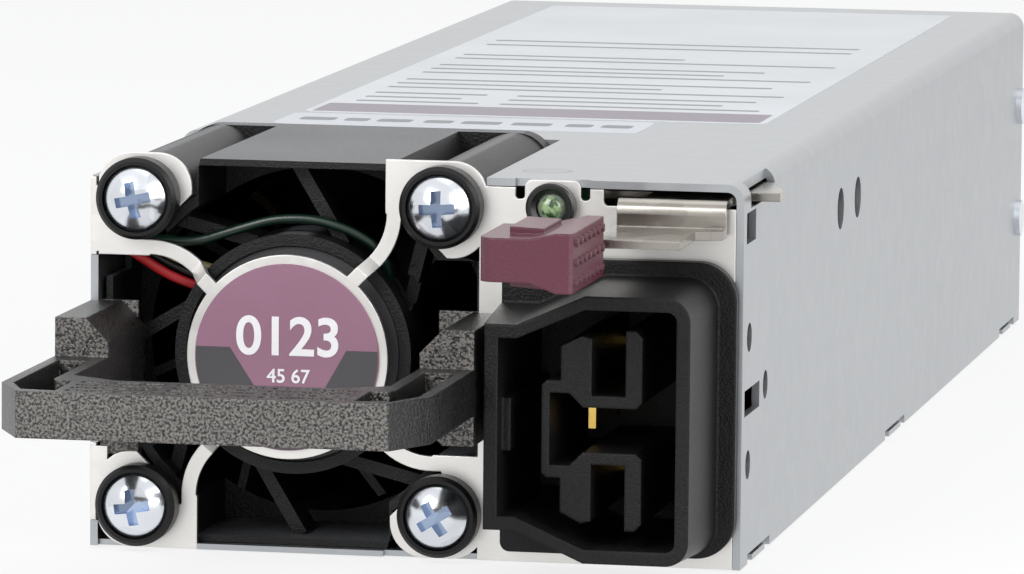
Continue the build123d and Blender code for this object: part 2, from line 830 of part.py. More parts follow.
def handle_pockets():
    """Rows of long slots in the bar and a trough in each arm, all open upwards."""
    front = -handle_reach
    first = front + pocket_wall
    last = front + bar_depth - pocket_wall
    depth = (last - first - slot_rib * (slot_rows - 1)) / slot_rows
    left = -half + handle_arm + handle_inner_corner * 0.4
    right = handle_right - handle_arm - handle_inner_corner * 0.4
    length = (right - left - slot_rib * (slot_columns - 1)) / slot_columns
    pockets = []
    for row in range(slot_rows):
        low = first + row * (depth + slot_rib)
        for column in range(slot_columns):
            start = left + column * (length + slot_rib)
            pockets.append(panel(start, start + length, low, low + depth, depth * 0.3))
    for inside, outside in ((left - slot_rib, -half + pocket_wall), (right + slot_rib, handle_right - pocket_wall)):
        toward = 1 if inside > outside else -1
        start_y = front + handle_corner_y
        arm_inside = outside + toward * (handle_arm - 2 * pocket_wall)
        pockets.append(Polygon((outside, start_y), (outside + toward * 1.9, first + 0.4), (inside, first),
                               (inside, last), (arm_inside + toward * 0.4, last), (arm_inside, last + 1.0),
                               (arm_inside, -ear_depth - 3.0), (outside, -ear_depth - 3.0), align=None))
    return pockets


def handle_ear(left):
    right = left + handle_arm
    outline = panel(left, right, ear_low, ear_high)
    ear = front_slab(outline, -ear_depth, plate_back + seat)
    inside = right if left < 0 else left
    edges = ear.edges().filter_by(Axis.Y).filter_by(lambda e: abs(e.center().X - inside) < 0.01)
    ear = chamfer(edges, ear_chamfer)
    return ear


def handle():
    low = handle_low
    high = low + handle_height
    bail = plan_slab(handle_outline(), low, high)
    bail -= plan_slab(Sketch() + handle_pockets(), low + pocket_floor, high + 1)
    left_ear = handle_ear(-half)
    right_ear = handle_ear(handle_right - handle_arm)
    ears = left_ear + right_ear
    slot = block(-half - 1, handle_right + 1, -seat, plate_back + 1, ear_low - 1, ear_high + 1)
    keep_left = block(-inner + seat, -half + handle_arm, -seat, plate_back + seat, ear_low, ear_high)
    keep_right = block(handle_right - handle_arm, plate_left - 1.0, -seat, plate_back + seat, ear_low, ear_high)
    ears = (ears - slot) + (left_ear & keep_left) + (right_ear & keep_right)
    foot_front = plate_back + seat
    foot_back = foot_front + foot_thickness
    feet = block(-inner + seat, -inner + seat + foot_width, foot_front, foot_back, foot_low, foot_high)
    feet += block(plate_left - 1.0 - foot_width, plate_left + 1.2, foot_front, foot_back, foot_low + 2.5, foot_high - 2.5)
    return bail + ears + feet


# Latch: a sliding steel lever with a nose through the right wall, a moulded thumb tab and a spring

def lever_top_outline():
    fork_width = rivet_radius + 0.15
    shape = Polygon((lever_fork_x, lever_fork_front), (lever_neck_x, lever_fork_front), (lever_neck_x, -0.2),
                    (lever_end_x, -0.2), (lever_end_x, plate_back + 1.5), (lever_right, plate_back + 3.0),
                    (lever_right, lever_back), (lever_fork_x, lever_back), align=None)
    shape -= panel(lever_fork_x - 1, rivet_x + latch_travel + 0.2, rivet_y - fork_width, rivet_y + fork_width)
    shape -= Pos(rivet_x + latch_travel + 0.2, rivet_y) * Circle(fork_width)
    window_left = spring_left - bracket_sheet - slack
    shape -= panel(window_left, spring_right, spring_front - slack, spring_back + slack)
    nose = Polygon((lever_right - 1, nose_front), (nose_reach, nose_front), (nose_reach, nose_front + nose_flat),
                   (half + 0.2, nose_back), (lever_right - 1, nose_back), align=None)
    return shape + nose


def latch_lever():
    lever = plan_slab(lever_top_outline(), lever_low, lever_high)
    # the front drops in a rounded step to a ledge that carries the tab
    awning = -lever_awning_front
    outer_bend = 1.6
    drop_low = ledge_high - lever_sheet
    with BuildSketch(Plane.YZ.offset(lever_awning_x)) as step:
        with BuildLine():
            Polyline((0, lever_low), (0, lever_high), (awning + outer_bend, lever_high))
            RadiusArc((awning + outer_bend, lever_high), (awning, lever_high - outer_bend), -outer_bend)
            Polyline((awning, lever_high - outer_bend), (awning, ledge_high), (awning - 0.4, ledge_high),
                     (awning - 0.4, drop_low), (awning + lever_sheet, drop_low),
                     (awning + lever_sheet, lever_low), (0, lever_low))
        make_face()
    fold = extrude(step.sketch, amount=lever_end_x - lever_awning_x)
    lever += fold
    ledge = Polygon((lever_awning_x, awning), (lever_end_x, awning), (lever_end_x, -lever_ledge_short + 0.7),
                    (lever_ledge_step, -lever_ledge_short), (lever_ledge_step, -lever_ledge_long),
                    (tab_right - paddle_thickness - 0.6, -lever_ledge_long),
                    (tab_right - paddle_thickness - 0.6, -tab_front + 3.0),
                    (tab_left + 2.0, -tab_front + 3.0), (tab_left + 2.0, -tab_back),
                    (lever_awning_x, -tab_back + 6.0), align=None)
    lever += plan_slab(ledge, drop_low, ledge_high)
    return lever


def latch_tab():
    """A moulded pad over the end of the ledge, with a studded paddle for the thumb."""
    top = tab_low + tab_height
    body_right = tab_right - paddle_thickness
    body = block(tab_left, body_right + 0.1, -tab_front, -tab_back, tab_low, top)
    left_front = body.edges().filter_by(Axis.Z).sort_by(Axis.X)[:2].sort_by(Axis.Y)[0]
    body = fillet(left_front, tab_corner)
    for low in (top, tab_low - rib_height):
        body += block(rib_x[0], rib_x[1], -rib_y[1], -rib_y[0] - 0.7, low, low + rib_height)
    # paddle with a fluted neck, thicker where it meets the body
    back = -tab_back + 4.0
    flute = Polygon((body_right - paddle_neck, tab_low), (body_right, paddle_low), (tab_right, paddle_low),
                    (tab_right, paddle_high), (body_right, paddle_high), (body_right - paddle_neck, top),
                    align=None)
    paddle = front_slab(flute, -tab_front, back)
    vertical = paddle.edges().filter_by(Axis.Z).filter_by(lambda e: e.center().X > tab_right - 0.01)
    paddle = chamfer(vertical, 0.35)
    tab = body + paddle
    rows = (paddle_high - paddle_low) / stud_rows
    columns = (back + tab_front) / (stud_columns + 0.4)
    for row in range(stud_rows):
        z = paddle_low + rows * (row + 0.5)
        for column in range(stud_columns):
            y = -tab_front + columns * (column + 0.7)
            tab += cross_rod(stud_radius, y, z, tab_right - 0.1, tab_right + stud_proud)
    # the ledge fills the pocket that is cut for it
    pocket = block(tab_left + 2.0 - seat, body_right - 0.6 + seat, -tab_front + 3.0 - seat, 0,
                   ledge_high - lever_sheet - seat, ledge_high + seat)
    side_pocket = block(body_right - 1.0, tab_right + 1, -lever_ledge_long - seat, 0,
                        ledge_high - lever_sheet - seat, ledge_high + seat)
    return tab - pocket - side_pocket


def latch_spring():
    """A helix between the fixed bracket and the right end of the lever's window."""
    start = spring_left + spring_wire
    length = spring_right - spring_left - 2 * spring_wire
    helix = Helix(pitch=length / spring_turns, height=length, radius=spring_radius)
    section = Plane(origin=helix @ 0, z_dir=helix % 0) * RegularPolygon(spring_wire, 6)
    coil = sweep(section, path=helix, is_frenet=True)
    middle_y = (spring_front + spring_back) / 2
    return Pos(start, middle_y, spring_z()) * (Rot(0, 90, 0) * coil)


def spring_z():
    return lever_high - spring_radius - spring_wire


def latch_bracket():
    low = spring_z() - spring_radius - spring_wire
    leg = block(spring_left - bracket_sheet, spring_left, spring_front, spring_back, low, ceiling - seat)
    foot = block(spring_left - bracket_sheet, spring_left + bracket_foot, spring_front, spring_back,
                 ceiling - seat - 0.5, ceiling - seat)
    return leg + foot


def latch_guide_rivet():
    """A flush head in the cover, a shoulder through the lever's fork and a flange under it."""
    under = lever_low - slack
    profile = [(0, under - rivet_flange), (rivet_flange_radius, under - rivet_flange),
               (rivet_flange_radius, under), (rivet_radius, under), (rivet_radius, ceiling),
               (rivet_head_radius, case_height), (0, case_height)]
    shape = revolve(Plane.XZ * Polygon(*profile, align=None), Axis.Z)
    return Pos(rivet_x, rivet_y, 0) * shape


# Status light beside the latch

def led_bezel():
    proud = -led_ring_proud
    profile = [(led_radius + seat, proud + 0.5), (led_radius + 0.5, proud), (led_ring_radius - 0.2, proud),
               (led_ring_radius, proud + 0.2), (led_ring_radius, 0), (led_hole_radius, 0),
               (led_hole_radius, plate_back + 0.6), (led_radius + seat, plate_back + 0.6)]
    return turned(profile, led_x, led_z)


def status_led():
    front = -led_proud
    body = rod(led_radius, front + led_radius, led_length, led_x, led_z)
    dome = Pos(led_x, front + led_radius, led_z) * Sphere(led_radius)
    return body + dome


def inlet_top():
    return inlet_mid_z + inlet_half_right - seat


def led_board():
    return block(led_x - led_board_width / 2, led_x + led_board_width / 2, led_length,
                 led_length + led_board_thickness, inlet_top(), led_z + 1.5)


# Power inlet: a keyed shroud with three U-shaped contact towers

def inlet_draft():
    return 0.7


def inlet_outline(grow=0.0):
    left = inlet_left - grow
    right = inlet_right + grow
    low_half = inlet_half_left + grow
    high_half = inlet_half_right + grow
    start = inlet_left + inlet_taper_start
    end = inlet_left + inlet_taper_end
    shape = Polygon((left, -low_half), (start, -low_half), (end, -high_half), (right, -high_half),
                    (right, high_half), (end, high_half), (start, low_half), (left, low_half), align=None)
    shape = fillet(shape.vertices().group_by(Axis.X)[-1], inlet_corner + grow)
    return Pos(0, inlet_mid_z) * shape


def tower(sign):
    """One of the two power towers: a U that opens away from the ground tower."""
    base = sign * tower_gap / 2
    tip = sign * (tower_gap / 2 + tower_height)
    outer = panel(tower_left, tower_right, min(base, tip), max(base, tip))
    slot_base = base + sign * tower_wall
    slot_tip = tip + sign
    inner_slot = panel(tower_left + tower_wall, tower_right - tower_wall,
                       min(slot_base, slot_tip), max(slot_base, slot_tip))
    return outer - inner_slot


def ground_tower():
    outer = panel(ground_left, ground_left + tower_wall, -ground_half, ground_half)
    for side in (-1, 1):
        level = side * (ground_half - tower_wall / 2)
        reach = ground_left + ground_arm
        outer += panel(ground_left, reach, level - tower_wall / 2, level + tower_wall / 2)
    return outer


def contact_slots():
    slots = [panel(ground_left + tower_wall + 2.2, ground_left + tower_wall + 2.2 + blade_width,
                   -blade_height / 2, blade_height / 2)]
    for sign in (-1, 1):
        middle = sign * (tower_gap / 2 + tower_wall + 2.6)
        centre = (tower_left + tower_right) / 2
        slots.append(panel(centre - blade_height / 2, centre + blade_height / 2,
                           middle - blade_width / 2, middle + blade_width / 2))
    return slots


def inlet_body():
    front = -inlet_proud
    flange = panel(inlet_flange_left, inlet_flange_right, inlet_flange_low, inlet_flange_high)
    flange = fillet(flange.vertices().group_by(Axis.X)[-1], inlet_flange_corner)
    flange = fillet(flange.vertices().group_by(Axis.X)[0], 1.0)
    body = front_slab(flange, -inlet_flange, 0)
    rim = Plane(origin=(0, front, 0), x_dir=(1, 0, 0), z_dir=(0, -1, 0)) * inlet_outline()
    root = Plane(origin=(0, -inlet_flange, 0), x_dir=(1, 0, 0), z_dir=(0, -1, 0)) * inlet_outline(inlet_draft())
    body += loft([root, rim])
    body += front_slab(inlet_outline(-seat), 0, inlet_depth)
    floor_y = inlet_depth - inlet_back_wall
    cavity = inlet_outline(-inlet_wall)
    body -= front_slab(cavity, front - 1, floor_y)
    towers = [tower(-1), tower(1), ground_tower()]
    body += front_slab(Pos(0, inlet_mid_z) * (Sketch() + towers), -tower_front, floor_y + 0.1)
    key = panel(inlet_left + inlet_wall - 0.1, inlet_left + inlet_wall + 0.9, -2.7, 2.7)
    body += front_slab(Pos(0, inlet_mid_z) * key, -tower_front, floor_y + 0.1)
    body -= front_slab(Pos(0, inlet_mid_z) * (Sketch() + contact_slots()), floor_y - 0.1, inlet_depth + 0.1)
    return body


def inlet_contact(index):
    """A flat blade that stands in its tower and passes through the back wall to a solder tag."""
    outline = Pos(0, inlet_mid_z) * offset(contact_slots()[index], -0.02)
    return front_slab(outline, -blade_front, inlet_depth + terminal_reach)


def inlet_wire(index):
    """A wire from the back of a contact down to the board."""
    middle = contact_slots()[index].center()
    start_z = inlet_mid_z + middle.Y
    back = inlet_depth + terminal_reach
    foot_x = inlet_left + 3.5 + index * 6.5
    foot_y = board_front_right + 3.0
    points = [(middle.X, back, start_z), (middle.X, back + 4.2, start_z),
              (foot_x, foot_y, board_top + 7.0), (foot_x, foot_y, board_top)]
    return lead(points, wire_radius)


# Main board, its posts and its card edge

def main_board():
    left = -board_half
    outline = Polygon((left, board_front_left), (fan_x + fan_half + 2.5, board_front_left),
                      (fan_x + fan_half + 2.5, board_front_right), (board_half, board_front_right),
                      (board_half, board_back), (tongue_right, board_back),
                      (tongue_right, case_length + tongue_reach - 0.8), (tongue_right - 0.8, case_length + tongue_reach),
                      (tongue_left + 0.8, case_length + tongue_reach), (tongue_left, case_length + tongue_reach - 0.8),
                      (tongue_left, board_back), (left, board_back), align=None)
    board = plan_slab(outline, board_low, board_top)
    for x, y in standoff_places:
        board -= post(standoff_bore + 0.2, x, y, board_low - 1, board_top + 1)
    return board


def edge_contacts():
    """Plated fingers on both faces of the card edge, with the key gap left free."""
    pitch = (tongue_right - tongue_left - 2.0) / finger_count
    back = case_length + tongue_reach - 1.2
    fingers = []
    for k in range(finger_count):
        if k == finger_count - 4:
            continue
        left = tongue_left + 1.0 + k * pitch + (pitch - finger_width) / 2
        for low in (board_top, board_low - finger_thickness):
            fingers.append(block(left, left + finger_width, back - finger_length, back, low, low + finger_thickness))
    return fingers


def board_standoffs():
    return [post(standoff_radius, x, y, pan_sheet, board_low) - post(standoff_bore, x, y, pan_sheet + 1, board_low + 1)
            for x, y in standoff_places]


def board_screws():
    return [post(board_screw_head, x, y, board_top, board_top + board_screw_height)
            + post(standoff_bore - seat, x, y, pan_sheet + 1.5, board_top) for x, y in standoff_places]


def insulator_sheet():
    """A film between the pan and the board, pierced for the standoffs."""
    sheet = block(-board_half, board_half, fan_back + 2.0, board_back,
                  pan_sheet + seat, pan_sheet + seat + insulator_thickness)
    for x, y in standoff_places:
        sheet -= post(standoff_radius + slack, x, y, 0, board_low)
    flange = block(-half / 2 - slack, half / 2 + slack, case_length - rear_sheet - pan_flange_height - slack,
                   case_length, 0, board_low)
    return sheet - flange


def standing(left, front, width, depth, height):
    return block(left, left + width, front, front + depth, board_top, board_top + height)


def ring_coil(x, y, outer, hole, height):
    """A wound ring core that lies flat on the board, with a rounded section."""
    ring = post(outer, x, y, board_top, board_top + height) - post(hole, x, y, board_top - 1, board_top + height + 1)
    rims = ring.edges().filter_by(GeomType.CIRCLE)
    return fillet(rims, min(height, outer - hole) * 0.22)


def lying_can(radius, x, front, back):
    return rod(radius, front, back, x, board_top + radius)


def primary_heatsink():
    """An aluminium strip with fins on its outer side."""
    profile = panel(-29.4, -27.2, 114.0, 160.0)
    for k in range(9):
        profile += panel(-31.2, -29.3, 115.0 + k * 5.2, 116.2 + k * 5.2)
    return plan_slab(profile, board_top, board_top + 27.0)


def secondary_heatsink():
    profile = panel(27.2, 29.4, 150.0, 184.0)
    for k in range(7):
        profile += panel(29.3, 31.2, 151.0 + k * 5.0, 152.2 + k * 5.0)
    return plan_slab(profile, board_top, board_top + 27.0)


def power_transistors():
    """Upright cases that stand against both heatsinks, each on three legs."""
    places = [(-27.2, -22.4, 116.0 + k * 14.5) for k in range(3)] + [(22.4, 27.2, 152.0 + k * 15.0) for k in range(2)]
    pieces = []
    for left, right, front in places:
        pieces.append(block(left, right, front, front + 13.0, board_top + 4.0, board_top + 23.0))
        middle = (left + right) / 2
        for j in range(3):
            leg = front + 2.0 + j * 4.2
            pieces.append(block(middle - 0.4, middle + 0.4, leg, leg + 1.2, board_top, board_top + 4.0))
    return pieces


def transformer_core():
    x, y = 4.0, 176.0
    outer = panel(x - 15, x + 15, y - 14, y + 14)
    core = plan_slab(outer, board_top + 2.0, board_top + 28.0)
    window = panel(x - 11, x + 11, board_top + 6.0, board_top + 24.0)
    core -= front_slab(window, y - 15, y + 15)
    return core + plan_slab(panel(x - 4.5, x + 4.5, y - 14, y + 14), board_top + 5.9, board_top + 24.1)


def transformer_windings():
    x, y = 4.0, 176.0
    outer = panel(x - 10.6, x + 10.6, y - 19, y + 19, 4.0)
    hole = panel(x - 4.6, x + 4.6, y - 14.1, y + 14.1)
    winding = plan_slab(outer - hole, board_top + 6.05, board_top + 23.95)
    feet = [block(x + a - 1, x + a + 1, y + b - 1, y + b + 1, board_top, board_top + 6.1)
            for a in (-8, 8) for b in (-17, 17)]
    return winding + feet


def control_board():
    card = block(10.0, 11.2, 104.0, 150.0, board_top, board_top + 24.0)
    chips = [block(11.2, 12.4, 110.0 + k * 12.0, 117.0 + k * 12.0, board_top + 8.0, board_top + 15.0) for k in range(3)]
    return card + chips


def choke(x, y):
    return ring_coil(x, y, 9.5, 4.0, 13.0)


save("base_pan", base_pan())
save("top_cover", top_cover())
save("rear_panel", rear_panel())
save("cover_screws", *cover_screws())
save("front_plate", front_plate())
save("badge", badge())
save("fan_grommets", *[grommet(x, z) for x, z in fan_corners()])
save("fan_screws", *fan_screws())
save("fan_frame", fan_frame())
save("fan_bearings", *fan_bearings())
save("fan_circuit_board", fan_circuit_board())
save("fan_stator", fan_stator())
save("fan_coils", *fan_coils())
save("fan_magnet_ring", fan_magnet_ring())
save("fan_rotor", fan_rotor())
save("fan_shaft", fan_shaft())
save("fan_hub_label", fan_hub_label())
for colour in lead_columns:
    save(f"fan_lead_{colour}", fan_lead(colour))
save("fan_connector", fan_connector())
save("handle", handle())
save("latch_lever", latch_lever())
save("latch_tab", latch_tab())
save("latch_spring", latch_spring())
save("latch_bracket", latch_bracket())
save("latch_guide_rivet", latch_guide_rivet())
save("led_bezel", led_bezel())
save("status_led", status_led())
save("led_board", led_board())
save("inlet_body", inlet_body())
for index, contact in enumerate(("ground", "neutral", "line")):
    save(f"{contact}_contact", inlet_contact(index))
save("inlet_wires", *[inlet_wire(index) for index in range(3)])
save("main_board", main_board())
save("edge_contacts", *edge_contacts())
save("board_standoffs", *board_standoffs())
save("board_screws", *board_screws())
save("insulator_sheet", insulator_sheet())
save("noise_chokes", choke(20.0, 47.0), choke(20.0, 84.0))
save("mains_capacitors", standing(11.0, 60.0, 18.0, 7.0, 14.0), standing(11.0, 97.0, 13.0, 6.0, 14.0))
save("safety_capacitors", *[rod(4.0, 70.0 + k * 22.0, 73.5 + k * 22.0, 6.0, board_top + 4.0) for k in range(2)])
save("fuse", cross_rod(2.6, 34.0, board_top + 2.6, 10.0, 25.0))
save("inrush_thermistor", rod(5.0, 52.0, 56.0, 5.5, board_top + 5.0))
save("relay", standing(-10.0, 141.0, 19.0, 8.0, 16.0))
save("bridge_rectifier", standing(-21.0, 140.0, 5.0, 18.0, 20.0))
save("primary_heatsink", primary_heatsink())
save("secondary_heatsink", secondary_heatsink())
save("power_transistors", *power_transistors())
save("boost_choke", ring_coil(-6.0, 124.0, 14.0, 6.5, 16.0))
save("bulk_capacitor", lying_can(14.5, -14.8, 52.5, 105.0))
save("transformer_core", transformer_core())
save("transformer_windings", transformer_windings())
save("resonant_choke", standing(-24.0, 168.0, 11.0, 18.0, 18.0))
save("output_capacitors", *[post(3.9, -20.0 + k * 9.0, 204.5, board_top, board_top + 16.0) for k in range(5)])
save("output_inductor", ring_coil(24.5, 193.0, 5.6, 2.4, 10.0))
save("control_board", control_board())
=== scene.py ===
import bpy
import json
import math
from mathutils import Matrix, Vector


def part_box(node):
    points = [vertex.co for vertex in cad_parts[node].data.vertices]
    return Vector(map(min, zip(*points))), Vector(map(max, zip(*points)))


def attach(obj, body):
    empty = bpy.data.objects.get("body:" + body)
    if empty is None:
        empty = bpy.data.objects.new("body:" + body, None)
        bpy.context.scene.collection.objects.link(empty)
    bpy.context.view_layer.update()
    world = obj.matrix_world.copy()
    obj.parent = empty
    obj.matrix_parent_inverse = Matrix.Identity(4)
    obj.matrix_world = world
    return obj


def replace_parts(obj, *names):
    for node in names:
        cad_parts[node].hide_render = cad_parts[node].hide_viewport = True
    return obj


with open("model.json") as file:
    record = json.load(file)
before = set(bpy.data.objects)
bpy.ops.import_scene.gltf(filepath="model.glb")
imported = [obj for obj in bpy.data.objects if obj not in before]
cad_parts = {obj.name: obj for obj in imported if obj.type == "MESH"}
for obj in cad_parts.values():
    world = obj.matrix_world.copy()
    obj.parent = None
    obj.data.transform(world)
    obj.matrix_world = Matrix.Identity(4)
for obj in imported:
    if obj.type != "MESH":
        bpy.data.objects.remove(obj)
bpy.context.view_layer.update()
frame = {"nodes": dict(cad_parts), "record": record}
nodes = frame["nodes"]
print("frame loaded:", len(nodes), "nodes")

# Sizes of pieces are in millimetres, with y from the front of the case, as in the CAD part

caseMiddle = 108  # how far the scene's middle lies behind the front of the case


def at(x, y, z):  # a place in those millimetres to the scene's metres
    return (x / 1000, (y - caseMiddle) / 1000, z / 1000)


def sizesOf(point):  # a point of a mesh, back in millimetres
    return point.x * 1000, point.y * 1000 + caseMiddle, point.z * 1000


def screen(red, green, blue):  # a colour as seen on screen, 0 to 255, to Blender's own values
    values = []
    for part in (red, green, blue):
        part = part / 255
        values.append(part / 12.92 if part <= 0.04045 else ((part + 0.055) / 1.055) ** 2.4)
    return (*values, 1.0)


# Helpers for shader nodes


def put(tree, kind, **settings):
    node = tree.nodes.new(kind)
    for name, value in settings.items():
        setattr(node, name, value)
    return node


def feed(tree, node, **inputs):  # values or sockets into inputs, by name or as i0, i1 by number
    for name, value in inputs.items():
        numbered = name[0] == "i" and name[1:].isdigit()
        socket = node.inputs[int(name[1:])] if numbered else node.inputs[name.replace("_", " ")]
        if isinstance(value, bpy.types.NodeSocket):
            tree.links.new(value, socket)
        else:
            socket.default_value = value
    return node


def mathNode(tree, operation, *values):
    node = put(tree, "ShaderNodeMath", operation=operation)
    return feed(tree, node, **{f"i{k}": v for k, v in enumerate(values)}).outputs[0]


def add(tree, total, *others):
    for other in others:
        total = mathNode(tree, "ADD", total, other)
    return total


def times(tree, value, factor):
    return mathNode(tree, "MULTIPLY", value, factor)


def sway(tree, value, amount):  # a value around a half becomes one around nothing
    return times(tree, mathNode(tree, "SUBTRACT", value, 0.5), amount)


def ramp(tree, value, low, high):  # 0 below low, 1 above high, soft between them
    node = put(tree, "ShaderNodeMapRange", interpolation_type="SMOOTHSTEP")
    return feed(tree, node, i0=value, i1=low, i2=high).outputs[0]


def noise(tree, vector, scale, detail, roughness=0.5):
    node = put(tree, "ShaderNodeTexNoise")
    feed(tree, node, Vector=vector, Scale=scale, Detail=detail, Roughness=roughness)
    return node.outputs["Fac"]


def mixColour(tree, amount, first, second, blend="MIX"):
    node = put(tree, "ShaderNodeMix", data_type="RGBA", blend_type=blend)
    return feed(tree, node, i0=amount, i6=first, i7=second).outputs[2]


def shade(tree, colour, tone):  # the colour a little lighter or darker, as it is where tone is 0
    level = add(tree, tone, 1.0)
    grey = feed(tree, put(tree, "ShaderNodeCombineColor"), Red=level, Green=level, Blue=level).outputs[0]
    return mixColour(tree, 1.0, colour, grey, "MULTIPLY")


def newGroup(name, inputs):  # every group gives a colour, a roughness and a height
    group = bpy.data.node_groups.new(name, "ShaderNodeTree")
    for label, kind, value in inputs:
        socket = group.interface.new_socket(label, in_out="INPUT", socket_type=kind)
        if value is not None:
            socket.default_value = value
    for label, kind in (("Colour", "Color"), ("Roughness", "Float"), ("Height", "Float")):
        group.interface.new_socket(label, in_out="OUTPUT", socket_type="NodeSocket" + kind)
    return group, group.nodes.new("NodeGroupInput").outputs, group.nodes.new("NodeGroupOutput").inputs


def useGroup(tree, group, **inputs):
    node = put(tree, "ShaderNodeGroup", node_tree=group)
    return feed(tree, node, **inputs).outputs


# Surface effects that several finishes share. Scales are per metre.

sheetEffect = dict(
    streakScale=1.0, streakDetail=3.0, streakRoughness=0.6,
    streakTone=0.06, streakRough=0.08, streakHeight=0.6,
    spangleScale=420.0, spangleRough=0.06, cloudScale=38.0, cloudDetail=4.0, cloudTone=0.03,
    markScale=900.0, markDetail=2.0, markHeight=0.5)


def makeSheetMetal():  # rolled, zinc coated sheet: streaks along one way, faint spangle, small marks
    tree, given, out = newGroup("sheetMetal", [
        ("Vector", "NodeSocketVector", None), ("Colour", "NodeSocketColor", (0.6, 0.6, 0.6, 1)),
        ("Streaks", "NodeSocketVector", (1, 1, 1)), ("Spangle", "NodeSocketFloat", 0.06),
        ("Rough", "NodeSocketFloat", 0.4)])
    look = sheetEffect
    place = given["Vector"]
    drawn = put(tree, "ShaderNodeVectorMath", operation="MULTIPLY")
    feed(tree, drawn, i0=place, i1=given["Streaks"])
    streak = noise(tree, drawn.outputs[0], look["streakScale"], look["streakDetail"], look["streakRoughness"])
    cells = feed(tree, put(tree, "ShaderNodeTexVoronoi"), Vector=place, Scale=look["spangleScale"])
    spangle = feed(tree, put(tree, "ShaderNodeSeparateColor"), Color=cells.outputs["Color"]).outputs[0]
    cloud = noise(tree, place, look["cloudScale"], look["cloudDetail"])
    marks = noise(tree, place, look["markScale"], look["markDetail"])
    tone = add(tree, sway(tree, spangle, given["Spangle"]), sway(tree, streak, look["streakTone"]),
               sway(tree, cloud, look["cloudTone"]))
    rough = add(tree, given["Rough"], sway(tree, streak, look["streakRough"]),
                sway(tree, spangle, look["spangleRough"]))
    height = add(tree, times(tree, streak, look["streakHeight"]), times(tree, marks, look["markHeight"]))
    tree.links.new(shade(tree, given["Colour"], tone), out["Colour"])
    tree.links.new(rough, out["Roughness"])
    tree.links.new(height, out["Height"])
    return tree


grainEffect = dict(
    coarseDetail=2.5, coarseRoughness=0.55, coarseLow=0.36, coarseHigh=0.64, coarseHeight=0.7,
    fineFactor=1.35, fineSmoothness=0.6, fineHeight=-0.5,
    cloudScale=60.0, cloudDetail=3.0, cloudTone=0.25, cloudRough=0.15)


def makeMouldGrain():  # spark eroded grain of moulded plastic, as coarse as Scale says
    tree, given, out = newGroup("mouldGrain", [
        ("Vector", "NodeSocketVector", None), ("Colour", "NodeSocketColor", (0.05, 0.05, 0.05, 1)),
        ("Scale", "NodeSocketFloat", 2600.0), ("Rough", "NodeSocketFloat", 0.5),
        ("Speckle", "NodeSocketFloat", 0.3)])
    look = grainEffect
    place = given["Vector"]
    coarse = noise(tree, place, given["Scale"], look["coarseDetail"], look["coarseRoughness"])
    bumps = ramp(tree, coarse, look["coarseLow"], look["coarseHigh"])
    cells = put(tree, "ShaderNodeTexVoronoi", feature="SMOOTH_F1")
    fineScale = times(tree, given["Scale"], look["fineFactor"])
    feed(tree, cells, Vector=place, Scale=fineScale, Smoothness=look["fineSmoothness"])
    cloud = noise(tree, place, look["cloudScale"], look["cloudDetail"])
    tone = add(tree, sway(tree, bumps, given["Speckle"]), sway(tree, cloud, look["cloudTone"]))
    height = add(tree, times(tree, bumps, look["coarseHeight"]),
                 times(tree, cells.outputs["Distance"], look["fineHeight"]))
    tree.links.new(shade(tree, given["Colour"], tone), out["Colour"])
    tree.links.new(add(tree, given["Rough"], sway(tree, cloud, look["cloudRough"])), out["Roughness"])
    tree.links.new(height, out["Height"])
    return tree


sheetMetal = makeSheetMetal()
mouldGrain = makeMouldGrain()
print("surface effects made")

# Finishes, one for each slot of the record

sheetDepth = 0.00002  # metres that the height of each effect stands for
grainDepth = 0.00006
edgeSamples = 4


def newMaterial(name):
    material = bpy.data.materials.new(name)
    material.use_nodes = True
    tree = material.node_tree
    tree.nodes.clear()
    shader = put(tree, "ShaderNodeBsdfPrincipled")
    end = put(tree, "ShaderNodeOutputMaterial")
    tree.links.new(shader.outputs[0], end.inputs["Surface"])
    place = put(tree, "ShaderNodeTexCoord").outputs["Object"]
    return material, tree, shader, place


def raised(tree, shader, height, strength, depth, edge=0.0):  # bump, over edges rounded by edge metres
    bump = feed(tree, put(tree, "ShaderNodeBump"), Strength=strength, Distance=depth, Height=height)
    if edge:
        rounded = feed(tree, put(tree, "ShaderNodeBevel", samples=edgeSamples), Radius=edge)
        tree.links.new(rounded.outputs[0], bump.inputs["Normal"])
    tree.links.new(bump.outputs[0], shader.inputs["Normal"])


def metalSheet(name, colour, rough, streaks, spangle=0.06, edge=0.0, bump=0.15):
    material, tree, shader, place = newMaterial(name)
    look = useGroup(tree, sheetMetal, Vector=place, Colour=screen(*colour), Streaks=streaks,
                    Spangle=spangle, Rough=rough)
    feed(tree, shader, Base_Color=look["Colour"], Roughness=look["Roughness"], Metallic=1.0)
    raised(tree, shader, look["Height"], bump, sheetDepth, edge)
    return material


def moulded(name, colour, rough, scale, speckle, bump, edge=0.0, specular=0.5, paintedLight=None):
    material, tree, shader, place = newMaterial(name)
    tint = screen(*colour)
    if paintedLight:  # faces that look along a direction take another colour: painted light, lighter or darker by the way a face turns
        normal = put(tree, "ShaderNodeNewGeometry").outputs["Normal"]
        turned = put(tree, "ShaderNodeVectorMath", operation="DOT_PRODUCT")
        feed(tree, turned, i0=normal, i1=paintedLight["along"])
        share = ramp(tree, turned.outputs["Value"], paintedLight["low"], paintedLight["high"])
        tint = mixColour(tree, share, tint, screen(*paintedLight["colour"]))
    look = useGroup(tree, mouldGrain, Vector=place, Colour=tint, Scale=scale, Rough=rough, Speckle=speckle)
    feed(tree, shader, Base_Color=look["Colour"], Roughness=look["Roughness"])
    shader.inputs["Specular IOR Level"].default_value = specular
    raised(tree, shader, look["Height"], bump, grainDepth, edge)
    return material


